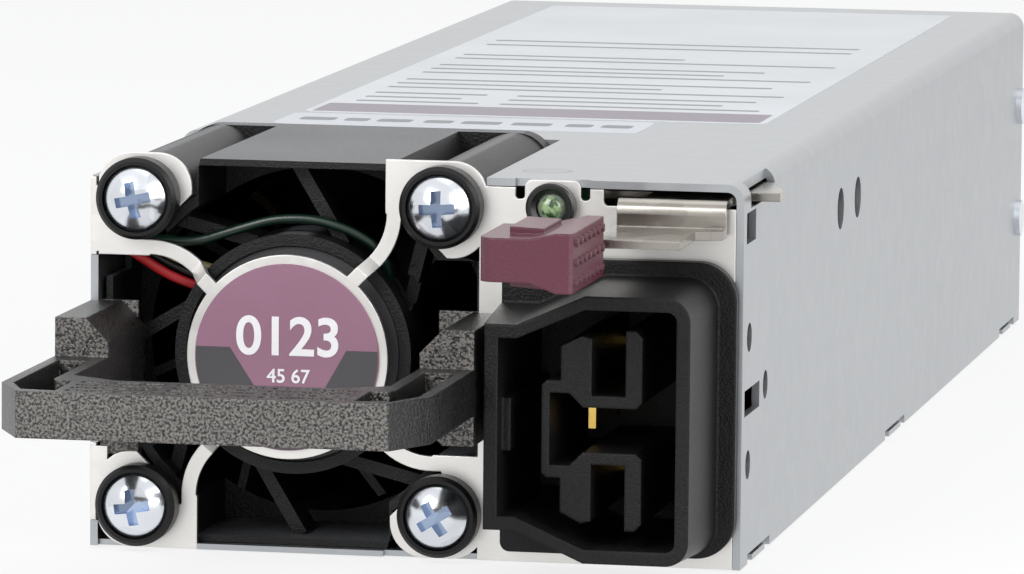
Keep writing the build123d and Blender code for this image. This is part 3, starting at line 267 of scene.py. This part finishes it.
# Streaks per metre along x, y and z: they run the way of the lowest number
alongCase = (260.0, 6.0, 260.0)
acrossPlate = (30.0, 200.0, 260.0)
acrossLever = (20.0, 260.0, 260.0)
alongBlade = (300.0, 20.0, 300.0)
allWays = (90.0, 90.0, 90.0)

# Painted light: the handle's faces that look to the front are painted lighter, as where the key lamp falls on
# them.
handleFrontsPaintedLight = dict(along=(0.0, -1.0, 0.0), low=0.8, high=0.97, colour=(86, 83, 80))
# Painted sheen: the fan's flat top faces are painted lighter, as glossy plastic reflecting the bright sky at
# a grazing angle.
fanTopPaintedSheen = dict(along=(0.0, 0.0, 1.0), low=0.985, high=0.998, colour=(84, 85, 88))
# Painted shade: the inlet's faces that look to the front are painted darker than its other faces.
inletFrontsPaintedShade = dict(along=(0.0, -1.0, 0.0), low=0.8, high=0.97, colour=(12, 12, 13))

# A finish has its name, its colour on screen, its roughness, then its streaks or its grain per metre
finishes = {
    "case_steel": metalSheet("caseSteel", (178, 181, 184), 0.36, alongCase, spangle=0.03, bump=0.06),
    "plate_steel": metalSheet("plateSteel", (232, 230, 227), 0.40, acrossPlate,
                              spangle=0.04, edge=0.00015, bump=0.08),
    "lever_steel": metalSheet("leverSteel", (160, 156, 149), 0.22, acrossLever,
                              spangle=0.12, edge=0.0002, bump=0.5),
    "rivet_steel": metalSheet("rivetSteel", (128, 129, 131), 0.2, allWays),
    "spring_steel": metalSheet("springSteel", (170, 172, 176), 0.3, allWays),
    "screw_zinc": metalSheet("screwZinc", (222, 226, 232), 0.2, (700.0, 700.0, 700.0),
                             spangle=0.2, bump=0.35),
    "bearing_steel": metalSheet("bearingSteel", (190, 190, 192), 0.2, allWays),
    "core_steel": metalSheet("coreSteel", (110, 112, 116), 0.4, (90.0, 2600.0, 90.0)),
    "contact_brass": metalSheet("contactBrass", (214, 178, 96), 0.26, alongBlade, spangle=0.04),
    "contact_gold": metalSheet("contactGold", (232, 196, 108), 0.22, alongBlade, spangle=0.03),
    "copper": metalSheet("copperWire", (176, 104, 62), 0.34, (900.0, 900.0, 40.0), spangle=0.02, bump=0.8),
    "heatsink_aluminium": metalSheet("heatsinkAluminium", (200, 202, 205), 0.35, (200.0, 20.0, 20.0)),
    "capacitor_can": metalSheet("capacitorCan", (198, 200, 204), 0.3, (200.0, 200.0, 20.0)),
    "handle_plastic": moulded("handlePlasticPaintedLight", (28, 27, 27), 0.3, 3600.0, speckle=1.9, bump=1.0,
                              edge=0.0003, specular=0.55, paintedLight=handleFrontsPaintedLight),
    "fan_plastic": moulded("fanPlasticPaintedSheen", (17, 17, 18), 0.4, 4600.0, speckle=0.9, bump=0.6,
                           specular=0.32, paintedLight=fanTopPaintedSheen),
    "inlet_plastic": moulded("inletPlasticPaintedShade", (20, 20, 21), 0.42, 4200.0, speckle=1.2, bump=0.5,
                             edge=0.0004, specular=0.3, paintedLight=inletFrontsPaintedShade),
    "tab_plastic": moulded("tabPlastic", (84, 22, 44), 0.3, 5200.0, speckle=0.3, bump=0.3,
                           edge=0.0003, specular=0.7),
    "grommet_rubber": moulded("grommetRubber", (13, 13, 14), 0.4, 5200.0, speckle=0.3, bump=0.2,
                              specular=0.3),
    "bezel_plastic": moulded("bezelPlastic", (14, 14, 15), 0.3, 5200.0, speckle=0.1, bump=0.15),
    "badge_print": moulded("badgePrint", (148, 108, 128), 0.4, 3000.0, speckle=0.03, bump=0.05),
    "label_grey": moulded("hubLabel", (70, 70, 72), 0.5, 3000.0, speckle=0.1, bump=0.1),
    "board_green": moulded("boardGreen", (30, 84, 52), 0.4, 1500.0, speckle=0.25, bump=0.1),
    "magnet": moulded("magnetFerrite", (52, 50, 50), 0.6, 3000.0, speckle=0.2, bump=0.3),
    "connector_white": moulded("connectorWhite", (222, 220, 208), 0.45, 4000.0, speckle=0.05, bump=0.1),
    "wire_red": moulded("wireRed", (186, 34, 40), 0.34, 3000.0, speckle=0.1, bump=0.06),
    "wire_black": moulded("wireBlack", (24, 24, 25), 0.34, 3000.0, speckle=0.1, bump=0.06),
    "wire_yellow": moulded("wireYellow", (150, 138, 92), 0.34, 3000.0, speckle=0.1, bump=0.06),
    # Painted shade: the green lead is coloured far darker than a green wire, as it lies in shade behind the
    # hub ring.
    "wire_green": moulded("wireGreenPaintedShade", (10, 34, 24), 0.3, 3000.0, speckle=0.1, bump=0.06),
    "insulator_film": moulded("insulatorFilm", (214, 210, 198), 0.4, 900.0, speckle=0.05, bump=0.05),
    "capacitor_yellow": moulded("capacitorYellow", (216, 186, 62), 0.4, 3000.0, speckle=0.05, bump=0.08),
    "capacitor_blue": moulded("capacitorBlue", (58, 98, 160), 0.3, 3000.0, speckle=0.05, bump=0.08),
    "capacitor_green": moulded("thermistorGreen", (58, 96, 66), 0.3, 3000.0, speckle=0.05, bump=0.08),
    "ceramic_white": moulded("ceramicWhite", (232, 230, 222), 0.35, 3000.0, speckle=0.05, bump=0.08),
    "relay_plastic": moulded("relayPlastic", (46, 58, 92), 0.4, 3000.0, speckle=0.05, bump=0.1),
    "semiconductor": moulded("semiconductorCase", (34, 34, 34), 0.5, 4000.0, speckle=0.1, bump=0.2),
    "capacitor_sleeve": moulded("capacitorSleeve", (34, 38, 52), 0.28, 1500.0, speckle=0.05, bump=0.06),
    "ferrite": moulded("ferriteCore", (48, 47, 46), 0.6, 3000.0, speckle=0.25, bump=0.3),
    "winding_tape": moulded("windingTape", (214, 184, 70), 0.35, 900.0, speckle=0.08, bump=0.1),
}

lensAxis = dict(x=14.4, z=36.9)
lensGlass = dict(
    centreRadius=0.0009, rimRadius=0.0014,  # metres
    dark=(54, 92, 46), light=(176, 206, 150), rim=(205, 216, 196), cloudScale=1400.0, cloudDetail=3.0,
    cloudLow=0.4, cloudHigh=0.62, rough=0.08, clear=0.3, coat=0.6, bump=0.3, depth=0.0002)


def ledLens():  # a pale rim around a green centre, by distance from the lens's axis
    material, tree, shader, place = newMaterial("ledLens")
    look = lensGlass
    axis = at(lensAxis["x"], 0.0, lensAxis["z"])
    parts = feed(tree, put(tree, "ShaderNodeSeparateXYZ"), Vector=place).outputs
    squares = []
    for part, middle in (("X", axis[0]), ("Z", axis[2])):
        aside = mathNode(tree, "ABSOLUTE", mathNode(tree, "SUBTRACT", parts[part], middle))
        squares.append(mathNode(tree, "POWER", aside, 2.0))
    away = mathNode(tree, "SQRT", add(tree, *squares))
    cloud = noise(tree, place, look["cloudScale"], look["cloudDetail"])
    patches = ramp(tree, cloud, look["cloudLow"], look["cloudHigh"])
    centre = mixColour(tree, patches, screen(*look["dark"]), screen(*look["light"]))
    outwards = ramp(tree, away, look["centreRadius"], look["rimRadius"])
    colour = mixColour(tree, outwards, centre, screen(*look["rim"]))
    feed(tree, shader, Base_Color=colour, Roughness=look["rough"])
    shader.inputs["Transmission Weight"].default_value = look["clear"]
    shader.inputs["Coat Weight"].default_value = look["coat"]
    raised(tree, shader, cloud, look["bump"], look["depth"])
    return material


finishes["led_lens"] = ledLens()

slotOfNode = {part["node"]: part["material_slot"] for part in frame["record"]["subparts"]}
for name, node in nodes.items():
    node.data.materials.clear()
    node.data.materials.append(finishes[slotOfNode[name]])
print("finishes made:", len(finishes))

# Tools for making pieces

smoothAngle = 35  # degrees, a sharper edge stays sharp
weldDistance = 0.0000005  # metres
drumSides = 96


def deselect():
    if bpy.context.object and bpy.context.object.mode != "OBJECT":
        bpy.ops.object.mode_set(mode="OBJECT")
    bpy.ops.object.select_all(action="DESELECT")


def choose(piece):
    deselect()
    piece.select_set(True)
    bpy.context.view_layer.objects.active = piece


def settle(piece, slotName, material=None, body="case"):  # place into the mesh, finish, body
    choose(piece)
    bpy.ops.object.transform_apply(location=True, rotation=True, scale=True)
    bpy.ops.object.shade_smooth_by_angle(angle=math.radians(smoothAngle))
    piece.data.materials.clear()
    piece.data.materials.append(material or finishes[slotName])
    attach(piece, body)
    return piece


def slab(name, corners, push):  # an outline of points in millimetres, pushed to a thickness
    deselect()
    bpy.ops.mesh.primitive_circle_add(vertices=len(corners), fill_type="NGON")
    piece = bpy.context.object
    piece.name = name
    for vertex, corner in zip(piece.data.vertices, corners):
        vertex.co = at(*corner)
    bpy.ops.object.mode_set(mode="EDIT")
    bpy.ops.mesh.select_all(action="SELECT")
    bpy.ops.mesh.extrude_region_move(TRANSFORM_OT_translate={"value": [step / 1000 for step in push]})
    bpy.ops.mesh.select_all(action="SELECT")
    bpy.ops.mesh.normals_make_consistent(inside=False)
    bpy.ops.object.mode_set(mode="OBJECT")
    return piece


def brick(name, low, high):  # a plain block between two corners, for cutting
    left, front, under = low
    right, back, over = high
    corners = [(left, front, under), (right, front, under), (right, front, over), (left, front, over)]
    return slab(name, corners, (0, back - front, 0))


def drum(radius, length, middle):  # a round block that lies along the case, for cutting
    deselect()
    bpy.ops.mesh.primitive_cylinder_add(vertices=drumSides, radius=radius / 1000, depth=length / 1000,
                                        location=at(*middle), rotation=(math.pi / 2, 0, 0))
    return bpy.context.object


def join(pieces):
    deselect()
    for piece in pieces:
        piece.select_set(True)
    bpy.context.view_layer.objects.active = pieces[0]
    bpy.ops.object.join()
    return pieces[0]


def carve(piece, cutter, operation="DIFFERENCE"):
    choose(piece)
    cut = piece.modifiers.new("cut", "BOOLEAN")
    cut.operation = operation
    cut.solver = "EXACT"
    cut.object = cutter
    bpy.ops.object.modifier_apply(modifier=cut.name)
    bpy.data.objects.remove(cutter)


def copyOf(nodeName, name):  # a merged copy of a CAD node's mesh, free to change
    piece = bpy.data.objects.new(name, nodes[nodeName].data.copy())
    bpy.context.scene.collection.objects.link(piece)
    choose(piece)
    bpy.ops.object.mode_set(mode="EDIT")
    bpy.ops.mesh.select_all(action="SELECT")
    bpy.ops.mesh.remove_doubles(threshold=weldDistance)
    bpy.ops.mesh.customdata_custom_splitnormals_clear()
    bpy.ops.object.mode_set(mode="OBJECT")
    return piece


def roundedOutline(left, right, low, high, radius, steps):
    points = []
    for cornerX, cornerY, first in ((right - radius, low + radius, -90), (right - radius, high - radius, 0),
                                    (left + radius, high - radius, 90), (left + radius, low + radius, 180)):
        for k in range(steps + 1):
            turn = math.radians(first + 90 * k / steps)
            points.append((cornerX + radius * math.cos(turn), cornerY + radius * math.sin(turn)))
    return points


# Labels on the cover. A box is left, right, front and back.

label = dict(base=39.69, thickness=0.07, corner=1.0, cornerSteps=5)
labelLook = dict(rough=0.45, scale=900.0, speckle=0.02, bump=0.02)
sheets = {
    "noticeLabel": dict(box=(-26.5, 14.2, 49.0, 61.0), colour=(202, 205, 210)),
    "ratingLabel": dict(box=(-26.0, 26.0, 63.0, 209.0), colour=(208, 211, 214)),
}
band = dict(box=(-25.2, 25.2, 63.6, 73.0), corner=0.5, colour=(138, 130, 140))
ink = dict(colour=(132, 134, 138), thickness=0.015, sink=0.005, cornerSteps=2, rough=0.5, speckle=0.1)
mark = dict(front=53.4, back=56.6, corner=0.6)
rule = dict(width=1.4, corner=0.3)
noticeMarks = [  # left and right of each
    (-24.5, -20.5), (-19.5, -16.8), (-15.8, -12.0), (-10.6, -7.4), (-6.4, -2.0), (-0.8, 3.6), (5.2, 8.2),
    (9.2, 12.6)]
ratingRules = [  # left, right and front of each
    (-23.0, -9.0, 76.0), (-6.5, 23.0, 76.0), (-23.0, -12.0, 81.0), (-6.5, 18.0, 81.0), (-23.0, -10.0, 86.0),
    (-6.5, 21.0, 86.0), (-23.0, 23.0, 93.0), (-23.0, 8.0, 98.0), (-23.0, 20.0, 103.0), (-23.0, 23.0, 112.0),
    (-23.0, 12.0, 117.0), (-23.0, 16.0, 122.0), (-23.0, 23.0, 131.0), (-23.0, 4.0, 136.0),
    (-23.0, 22.0, 150.0), (-23.0, 22.0, 156.0)]


def flatPiece(name, box, corner, steps, base, thickness):  # a thin piece that lies on the cover
    points = [(x, y, base) for x, y in roundedOutline(*box, corner, steps)]
    return slab(name, points, (0, 0, thickness))


def labels():
    for name, sheet in sheets.items():
        paper = moulded(name, sheet["colour"], **labelLook)
        piece = flatPiece(name, sheet["box"], label["corner"], label["cornerSteps"], label["base"],
                          label["thickness"])
        settle(piece, "case_steel", paper)
    top = label["base"] + label["thickness"] - ink["sink"]
    bandInk = moulded("ratingBand", band["colour"], **labelLook)
    piece = flatPiece("ratingBand", band["box"], band["corner"], label["cornerSteps"], top, ink["thickness"])
    settle(piece, "case_steel", bandInk)
    labelInk = moulded("labelInk", ink["colour"], ink["rough"], labelLook["scale"], ink["speckle"],
                       labelLook["bump"])
    boxes = [((left, right, mark["front"], mark["back"]), mark["corner"]) for left, right in noticeMarks]
    boxes += [((left, right, front, front + rule["width"]), rule["corner"])
              for left, right, front in ratingRules]
    marks = [flatPiece("noticeMarks", box, corner, ink["cornerSteps"], top, ink["thickness"])
             for box, corner in boxes]
    settle(join(marks), "case_steel", labelInk)


labels()
print("labels laid")

# Print on the badge: a dark band with a narrower foot, and plain numbers. Points are from its middle.

badge = dict(x=-13.0, z=20.65, radius=9.6, arcSteps=48, bandTop=0.9, thickness=0.04, sink=0.01)
badgeFoot = dict(rightTop=6.3, right=3.2, left=-2.4, leftTop=-6.0, low=-4.6)
badgeText = dict(aside=0.2, sink=0.005, thickness=0.015)
digits = {
    "badgeNumber": dict(body="0123", size=5.6, lift=0.3, weight=0.1),
    "badgeSmallNumber": dict(body="45 67", size=2.0, lift=-2.6, weight=0.03),
}


def badgePrint():
    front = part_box("badge")[0][1] * 1000 + caseMiddle
    radius, bandTop, foot = badge["radius"], badge["bandTop"], badgeFoot
    angle = math.asin(bandTop / radius)
    points = []
    for k in range(badge["arcSteps"] + 1):
        turn = math.pi - angle + (math.pi + 2 * angle) * k / badge["arcSteps"]
        points.append((radius * math.cos(turn), radius * math.sin(turn)))
    points += [(foot["rightTop"], bandTop), (foot["right"], foot["low"]),
               (foot["left"], foot["low"]), (foot["leftTop"], bandTop)]
    corners = [(badge["x"] + x, front + badge["sink"], badge["z"] + z) for x, z in points]
    dark = moulded("badgeBand", (74, 72, 74), 0.4, 3000.0, speckle=0.03, bump=0.05)
    settle(slab("badgeBand", corners, (0, -badge["thickness"] - badge["sink"], 0)), "badge_print", dark)
    white = moulded("badgeWhite", (240, 238, 240), 0.45, 3000.0, speckle=0.02, bump=0.02)
    textFront = front - badge["thickness"] - badgeText["sink"]
    for name, digit in digits.items():
        deselect()
        middle = at(badge["x"] + badgeText["aside"], textFront, badge["z"] + digit["lift"])
        bpy.ops.object.text_add(location=middle, rotation=(math.pi / 2, 0, 0))
        piece = bpy.context.object
        piece.name = name
        piece.data.body = digit["body"]
        piece.data.size = digit["size"] / 1000
        piece.data.align_x = "CENTER"
        piece.data.offset = digit["weight"] / 1000
        piece.data.extrude = badgeText["thickness"] / 1000
        bpy.ops.object.convert(target="MESH")
        settle(piece, "badge_print", white)


badgePrint()
print("badge printed")

# Fan frame with open corners and straight vanes

fan = dict(x=-13.0, z=20.65, front=1.0, back=14.0, inside=19.3, flat=10.2, keep=15.4, mouth=18.15)
fanCuts = dict(levelFront=0.05, levelBack=0.003, keepLength=20.0, keepMiddle=3.0,
               mouthLength=3.2, mouthMiddle=2.6, coreLength=6.0)
vanes = dict(count=8, first=22.5, sweep=22.0, near=12.1, far=18.6, run=3.6, longest=9.0, step=0.1,
             width=1.34, front=4.17, back=8.93)


def vaneEnds():  # the run of each vane from the ring out to the thin walls
    for k in range(vanes["count"]):
        turn = math.radians(vanes["first"] + 360 / vanes["count"] * k)
        end = turn + math.radians(vanes["sweep"])
        inner = Vector((vanes["near"] * math.cos(turn), vanes["near"] * math.sin(turn)))
        outer = Vector((vanes["far"] * math.cos(end), vanes["far"] * math.sin(end)))
        run = (outer - inner).normalized()
        side = Vector((-run.y, run.x)) * (vanes["width"] / 2)
        start = inner + run * vanes["run"]
        stop = start.copy()
        reach = 0.0
        while max(abs(stop.x), abs(stop.y)) < fan["inside"] and reach < vanes["longest"]:
            reach += vanes["step"]
            stop = start + run * reach
        corners = [(fan["x"] + corner.x, vanes["front"], fan["z"] + corner.y)
                   for corner in (start + side, start - side, stop - side, stop + side)]
        yield slab("vaneEnd", corners, (0, vanes["back"] - vanes["front"], 0))


def openFanFrame():  # the frame's front web goes, so that the thin walls and the vanes show
    piece = copyOf("fan_frame", "fanFrameOpen")
    x, z, flat, inside, front, back = (fan[key] for key in ("x", "z", "flat", "inside", "front", "back"))
    upright = brick("upright", (x - flat, front, z - inside), (x + flat, back, z + inside))
    level = brick("level", (x - inside, front - fanCuts["levelFront"], z - flat),
                  (x + inside, back - fanCuts["levelBack"], z + flat))
    carve(upright, level, "UNION")
    carve(upright, drum(fan["keep"], fanCuts["keepLength"], (x, fanCuts["keepMiddle"], z)))
    carve(piece, upright)
    mouth = drum(fan["mouth"], fanCuts["mouthLength"], (x, fanCuts["mouthMiddle"], z))
    carve(mouth, drum(fan["keep"], fanCuts["coreLength"], (x, fanCuts["mouthMiddle"], z)))
    carve(piece, mouth)
    ends = join(list(vaneEnds()))
    ends.name = "fanVaneEnds"
    settle(ends, "fan_plastic")
    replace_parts(settle(piece, "fan_plastic"), "fan_frame")


openFanFrame()

# Handle with short foot plates

footCuts = {
    "left": ((-34.2, 0.3, 25.75), (-28.0, 1.7, 33.0)),
    "right": ((1.8, 0.3, 25.75), (9.6, 1.7, 31.0)),
}


def shortHandle():
    piece = copyOf("handle", "handleTrimmed")
    for name, (low, high) in footCuts.items():
        carve(piece, brick(name, low, high))
    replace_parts(settle(piece, "handle_plastic"), "handle")


shortHandle()

# Inlet with its slanted towers

inlet = dict(middle=15.7, front=-12.4, floor=9.05, oldMiddle=15.9)
oldTowers = {
    "narrow": dict(left=14.2, right=27.2, front=-13.0, back=8.99, half=6.2),
    "wide": dict(left=17.0, right=26.9, front=-12.9, back=8.98, half=10.1),
}
towerHalf = [  # x, and height over the inlet's middle
    (15.85, 4.45), (16.35, 4.95), (17.8, 4.95), (17.8, 8.45), (19.95, 9.55), (20.95, 9.3), (20.95, 3.5),
    (24.45, 3.5), (24.45, 10.2), (25.45, 10.2), (26.15, 9.5), (26.15, 2.9), (25.55, 2.3), (20.1, 2.3),
    (18.7, 3.7), (16.65, 3.7)]
blades = {
    "line_contact": dict(name="lineBlade", front=7.5),
    "neutral_contact": dict(name="neutralBlade", front=7.5),
    "ground_contact": dict(name="groundBlade", front=-4.0),
}
bladeCut = dict(left=10.0, right=32.0, low=2.0, high=30.0, front=-9.0)


def slantedTowers():
    piece = copyOf("inlet_body", "inletShroud")
    for name, old in oldTowers.items():
        carve(piece, brick(name, (old["left"], old["front"], inlet["oldMiddle"] - old["half"]),
                           (old["right"], old["back"], inlet["oldMiddle"] + old["half"])))
    outline = towerHalf + [(x, -z) for x, z in reversed(towerHalf)]
    corners = [(x, inlet["front"], inlet["middle"] + z) for x, z in outline]
    towers = slab("inletTowers", corners, (0, inlet["floor"] - inlet["front"], 0))
    settle(towers, "inlet_plastic")
    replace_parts(settle(piece, "inlet_plastic"), "inlet_body")


def shortBlades():
    for nodeName, blade in blades.items():
        piece = copyOf(nodeName, blade["name"])
        carve(piece, brick("reach", (bladeCut["left"], bladeCut["front"], bladeCut["low"]),
                           (bladeCut["right"], blade["front"], bladeCut["high"])))
        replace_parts(settle(piece, "contact_gold"), nodeName)


slantedTowers()
shortBlades()
print("inlet towers made")

# Screws and grommets of the fan

screwPitch = 32.0
screwSeat = -1.3
screwPlaces = [(fan["x"] + sideX * screwPitch / 2, fan["z"] + sideZ * screwPitch / 2)
               for sideX in (-1, 1) for sideZ in (-1, 1)]
fixings = {  # what lies before and outside is widened
    "fan_screws": dict(name="fanScrewsProud", slot="screw_zinc", widen=1.045, lengthen=1.4,
                       before=screwSeat + 0.1, outside=0.0),
    "fan_grommets": dict(name="fanGrommetsNarrow", slot="grommet_rubber", widen=0.955, lengthen=1.0,
                         before=math.inf, outside=3.7),
}
cross = dict(crown=-4.1, curve=0.136, reach=2.3, depth=0.25)


def reshape(nodeName, fixing):  # each of the four grows about its own axis
    piece = copyOf(nodeName, fixing["name"])
    for vertex in piece.data.vertices:
        x, y, z = sizesOf(vertex.co)
        axisX, axisZ = min(screwPlaces, key=lambda place: (place[0] - x) ** 2 + (place[1] - z) ** 2)
        away = math.hypot(x - axisX, z - axisZ)
        if y < fixing["before"] and away > fixing["outside"]:
            x = axisX + (x - axisX) * fixing["widen"]
            z = axisZ + (z - axisZ) * fixing["widen"]
        if y < screwSeat:
            y = screwSeat + (y - screwSeat) * fixing["lengthen"]
        vertex.co = at(x, y, z)
    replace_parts(settle(piece, fixing["slot"]), nodeName)
    return piece


def paintShadeInCrosses(piece, finish):  # the walls and floor of each cross get a darker, bluer zinc: painted shade in the recess, tinted blue
    piece.data.materials.append(finish)
    for face in piece.data.polygons:
        x, y, z = sizesOf(face.center)
        away = min(math.hypot(x - place[0], z - place[1]) for place in screwPlaces)
        crown = cross["crown"] + cross["curve"] * away * away
        if away < cross["reach"] and screwSeat > y > crown + cross["depth"]:
            face.material_index = 1


reshaped = {nodeName: reshape(nodeName, fixing) for nodeName, fixing in fixings.items()}
# Painted shade for the cross recesses: a darker, bluer zinc than the heads.
crossPaintedShade = metalSheet("screwCrossPaintedShade", (150, 166, 192), 0.2, (1500.0, 1500.0, 1500.0), spangle=0.9, bump=1.0)
paintShadeInCrosses(reshaped["fan_screws"], crossPaintedShade)
print("screws made")

# Latch tab and light

tab = dict(seam=18.4, bodyLow=31.9, bodyHeight=5.0, newBodyLow=32.7, newBodyHeight=4.4,
           paddleLow=31.4, paddleHeight=6.6, newPaddleLow=31.7, newPaddleHeight=6.0)
lens = dict(widen=1.18, before=-0.35, front=-1.2, newFront=-1.4)


def slimTab():  # the body of the tab is less deep than its paddle
    piece = copyOf("latch_tab", "latchTabSlim")
    for vertex in piece.data.vertices:
        x, y, z = sizesOf(vertex.co)
        body = tab["newBodyLow"] + (z - tab["bodyLow"]) * tab["newBodyHeight"] / tab["bodyHeight"]
        paddle = tab["newPaddleLow"] + (z - tab["paddleLow"]) * tab["newPaddleHeight"] / tab["paddleHeight"]
        share = min(max(x - tab["seam"], 0.0), 1.0)
        vertex.co = at(x, y, body + (paddle - body) * share)
    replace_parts(settle(piece, "tab_plastic", body="latch"), "latch_tab")


def wideLens():  # the lens fills its ring
    piece = copyOf("status_led", "lightLensWide")
    before, axisX, axisZ = lens["before"], lensAxis["x"], lensAxis["z"]
    for vertex in piece.data.vertices:
        x, y, z = sizesOf(vertex.co)
        if y < before:
            x = axisX + (x - axisX) * lens["widen"]
            y = before + (y - before) * (lens["newFront"] - before) / (lens["front"] - before)
            z = axisZ + (z - axisZ) * lens["widen"]
            vertex.co = at(x, y, z)
    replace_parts(settle(piece, "led_lens"), "status_led")


slimTab()
wideLens()
print("tab and lens made")

# Camera, light and floor

view = {
    "place": (0.16527, -0.89130, 0.12429),
    "yaw": -0.1954,
    "pitch": -0.1194,
    "roll": 0.0090,
    "focalPixels": 7838.1,
    "imageWidth": 1024,
    "sensorWidth": 36.0,
    "nearest": 0.01,
    "farthest": 50,
}


def aimCamera():
    data = bpy.data.cameras.new("photoCamera")
    camera = bpy.data.objects.new("photoCamera", data)
    bpy.context.scene.collection.objects.link(camera)
    sinYaw, cosYaw = math.sin(view["yaw"]), math.cos(view["yaw"])
    sinPitch, cosPitch = math.sin(view["pitch"]), math.cos(view["pitch"])
    sinRoll, cosRoll = math.sin(view["roll"]), math.cos(view["roll"])
    ahead = Vector((sinYaw * cosPitch, cosYaw * cosPitch, sinPitch))
    level = Vector((cosYaw, -sinYaw, 0.0))
    over = level.cross(ahead)
    right = level * cosRoll + over * sinRoll
    up = over * cosRoll - level * sinRoll
    turned = Matrix((right, up, -ahead)).transposed().to_4x4()
    camera.matrix_world = Matrix.Translation(view["place"]) @ turned
    data.sensor_width = view["sensorWidth"]
    data.lens = view["focalPixels"] / view["imageWidth"] * data.sensor_width
    data.clip_start = view["nearest"]
    data.clip_end = view["farthest"]
    bpy.context.scene.camera = camera


lamps = {
    "keyLamp": dict(place=(-0.55, -0.95, 0.75), aim=(0.0, -0.05, 0.02), size=0.7, power=10.0),
    "fillLamp": dict(place=(0.95, -0.55, 0.45), aim=(0.0, 0.0, 0.02), size=0.8, power=8.5),
    "topLamp": dict(place=(0.1, 0.25, 1.15), aim=(0.0, 0.05, 0.02), size=1.0, power=2.5),
}


def hangLamps():
    for name, lamp in lamps.items():
        data = bpy.data.lights.new(name, "AREA")
        data.energy = lamp["power"]
        data.size = lamp["size"]
        hung = bpy.data.objects.new(name, data)
        bpy.context.scene.collection.objects.link(hung)
        hung.location = lamp["place"]
        beam = Vector(lamp["aim"]) - Vector(lamp["place"])
        hung.rotation_euler = beam.to_track_quat("-Z", "Y").to_euler()


white = (1.0, 1.0, 1.0, 1.0)
studio = dict(colour=(0.93, 0.96, 1.0, 1.0), strength=0.45)
backdrop = dict(size=12.0, below=0.0002, colour=(0.86, 0.86, 0.86, 1.0), glow=0.82)


def litByCamera(tree):  # 1 where the camera, a reflection or a clear piece looks
    path = put(tree, "ShaderNodeLightPath").outputs
    seen = mathNode(tree, "MAXIMUM", path["Is Camera Ray"], path["Is Glossy Ray"])
    return mathNode(tree, "MAXIMUM", seen, path["Is Transmission Ray"])


def makeWorld():
    world = bpy.data.worlds.new("studio")
    bpy.context.scene.world = world
    world.use_nodes = True
    tree = world.node_tree
    tree.nodes.clear()
    soft = feed(tree, put(tree, "ShaderNodeBackground"), Color=studio["colour"], Strength=studio["strength"])
    plain = feed(tree, put(tree, "ShaderNodeBackground"), Color=white, Strength=1.0)
    mix = put(tree, "ShaderNodeMixShader")
    feed(tree, mix, i0=litByCamera(tree), i1=soft.outputs[0], i2=plain.outputs[0])
    tree.links.new(mix.outputs[0], put(tree, "ShaderNodeOutputWorld").inputs["Surface"])


def makeFloor():
    bpy.ops.mesh.primitive_plane_add(size=backdrop["size"], location=(0, 0, -backdrop["below"]))
    floor = bpy.context.object
    floor.name = "floor"
    material = bpy.data.materials.new("paleFloor")
    material.use_nodes = True
    tree = material.node_tree
    tree.nodes.clear()
    seen = times(tree, litByCamera(tree), backdrop["glow"])
    matt = feed(tree, put(tree, "ShaderNodeBsdfDiffuse"), Color=backdrop["colour"])
    glow = feed(tree, put(tree, "ShaderNodeEmission"), Color=white, Strength=1.0)
    mix = feed(tree, put(tree, "ShaderNodeMixShader"), i0=seen, i1=matt.outputs[0], i2=glow.outputs[0])
    tree.links.new(mix.outputs[0], put(tree, "ShaderNodeOutputMaterial").inputs["Surface"])
    floor.data.materials.append(material)


aimCamera()
hangLamps()
deselect()
makeWorld()
makeFloor()
bpy.context.scene.view_settings.view_transform = "Standard"

print("stage set")
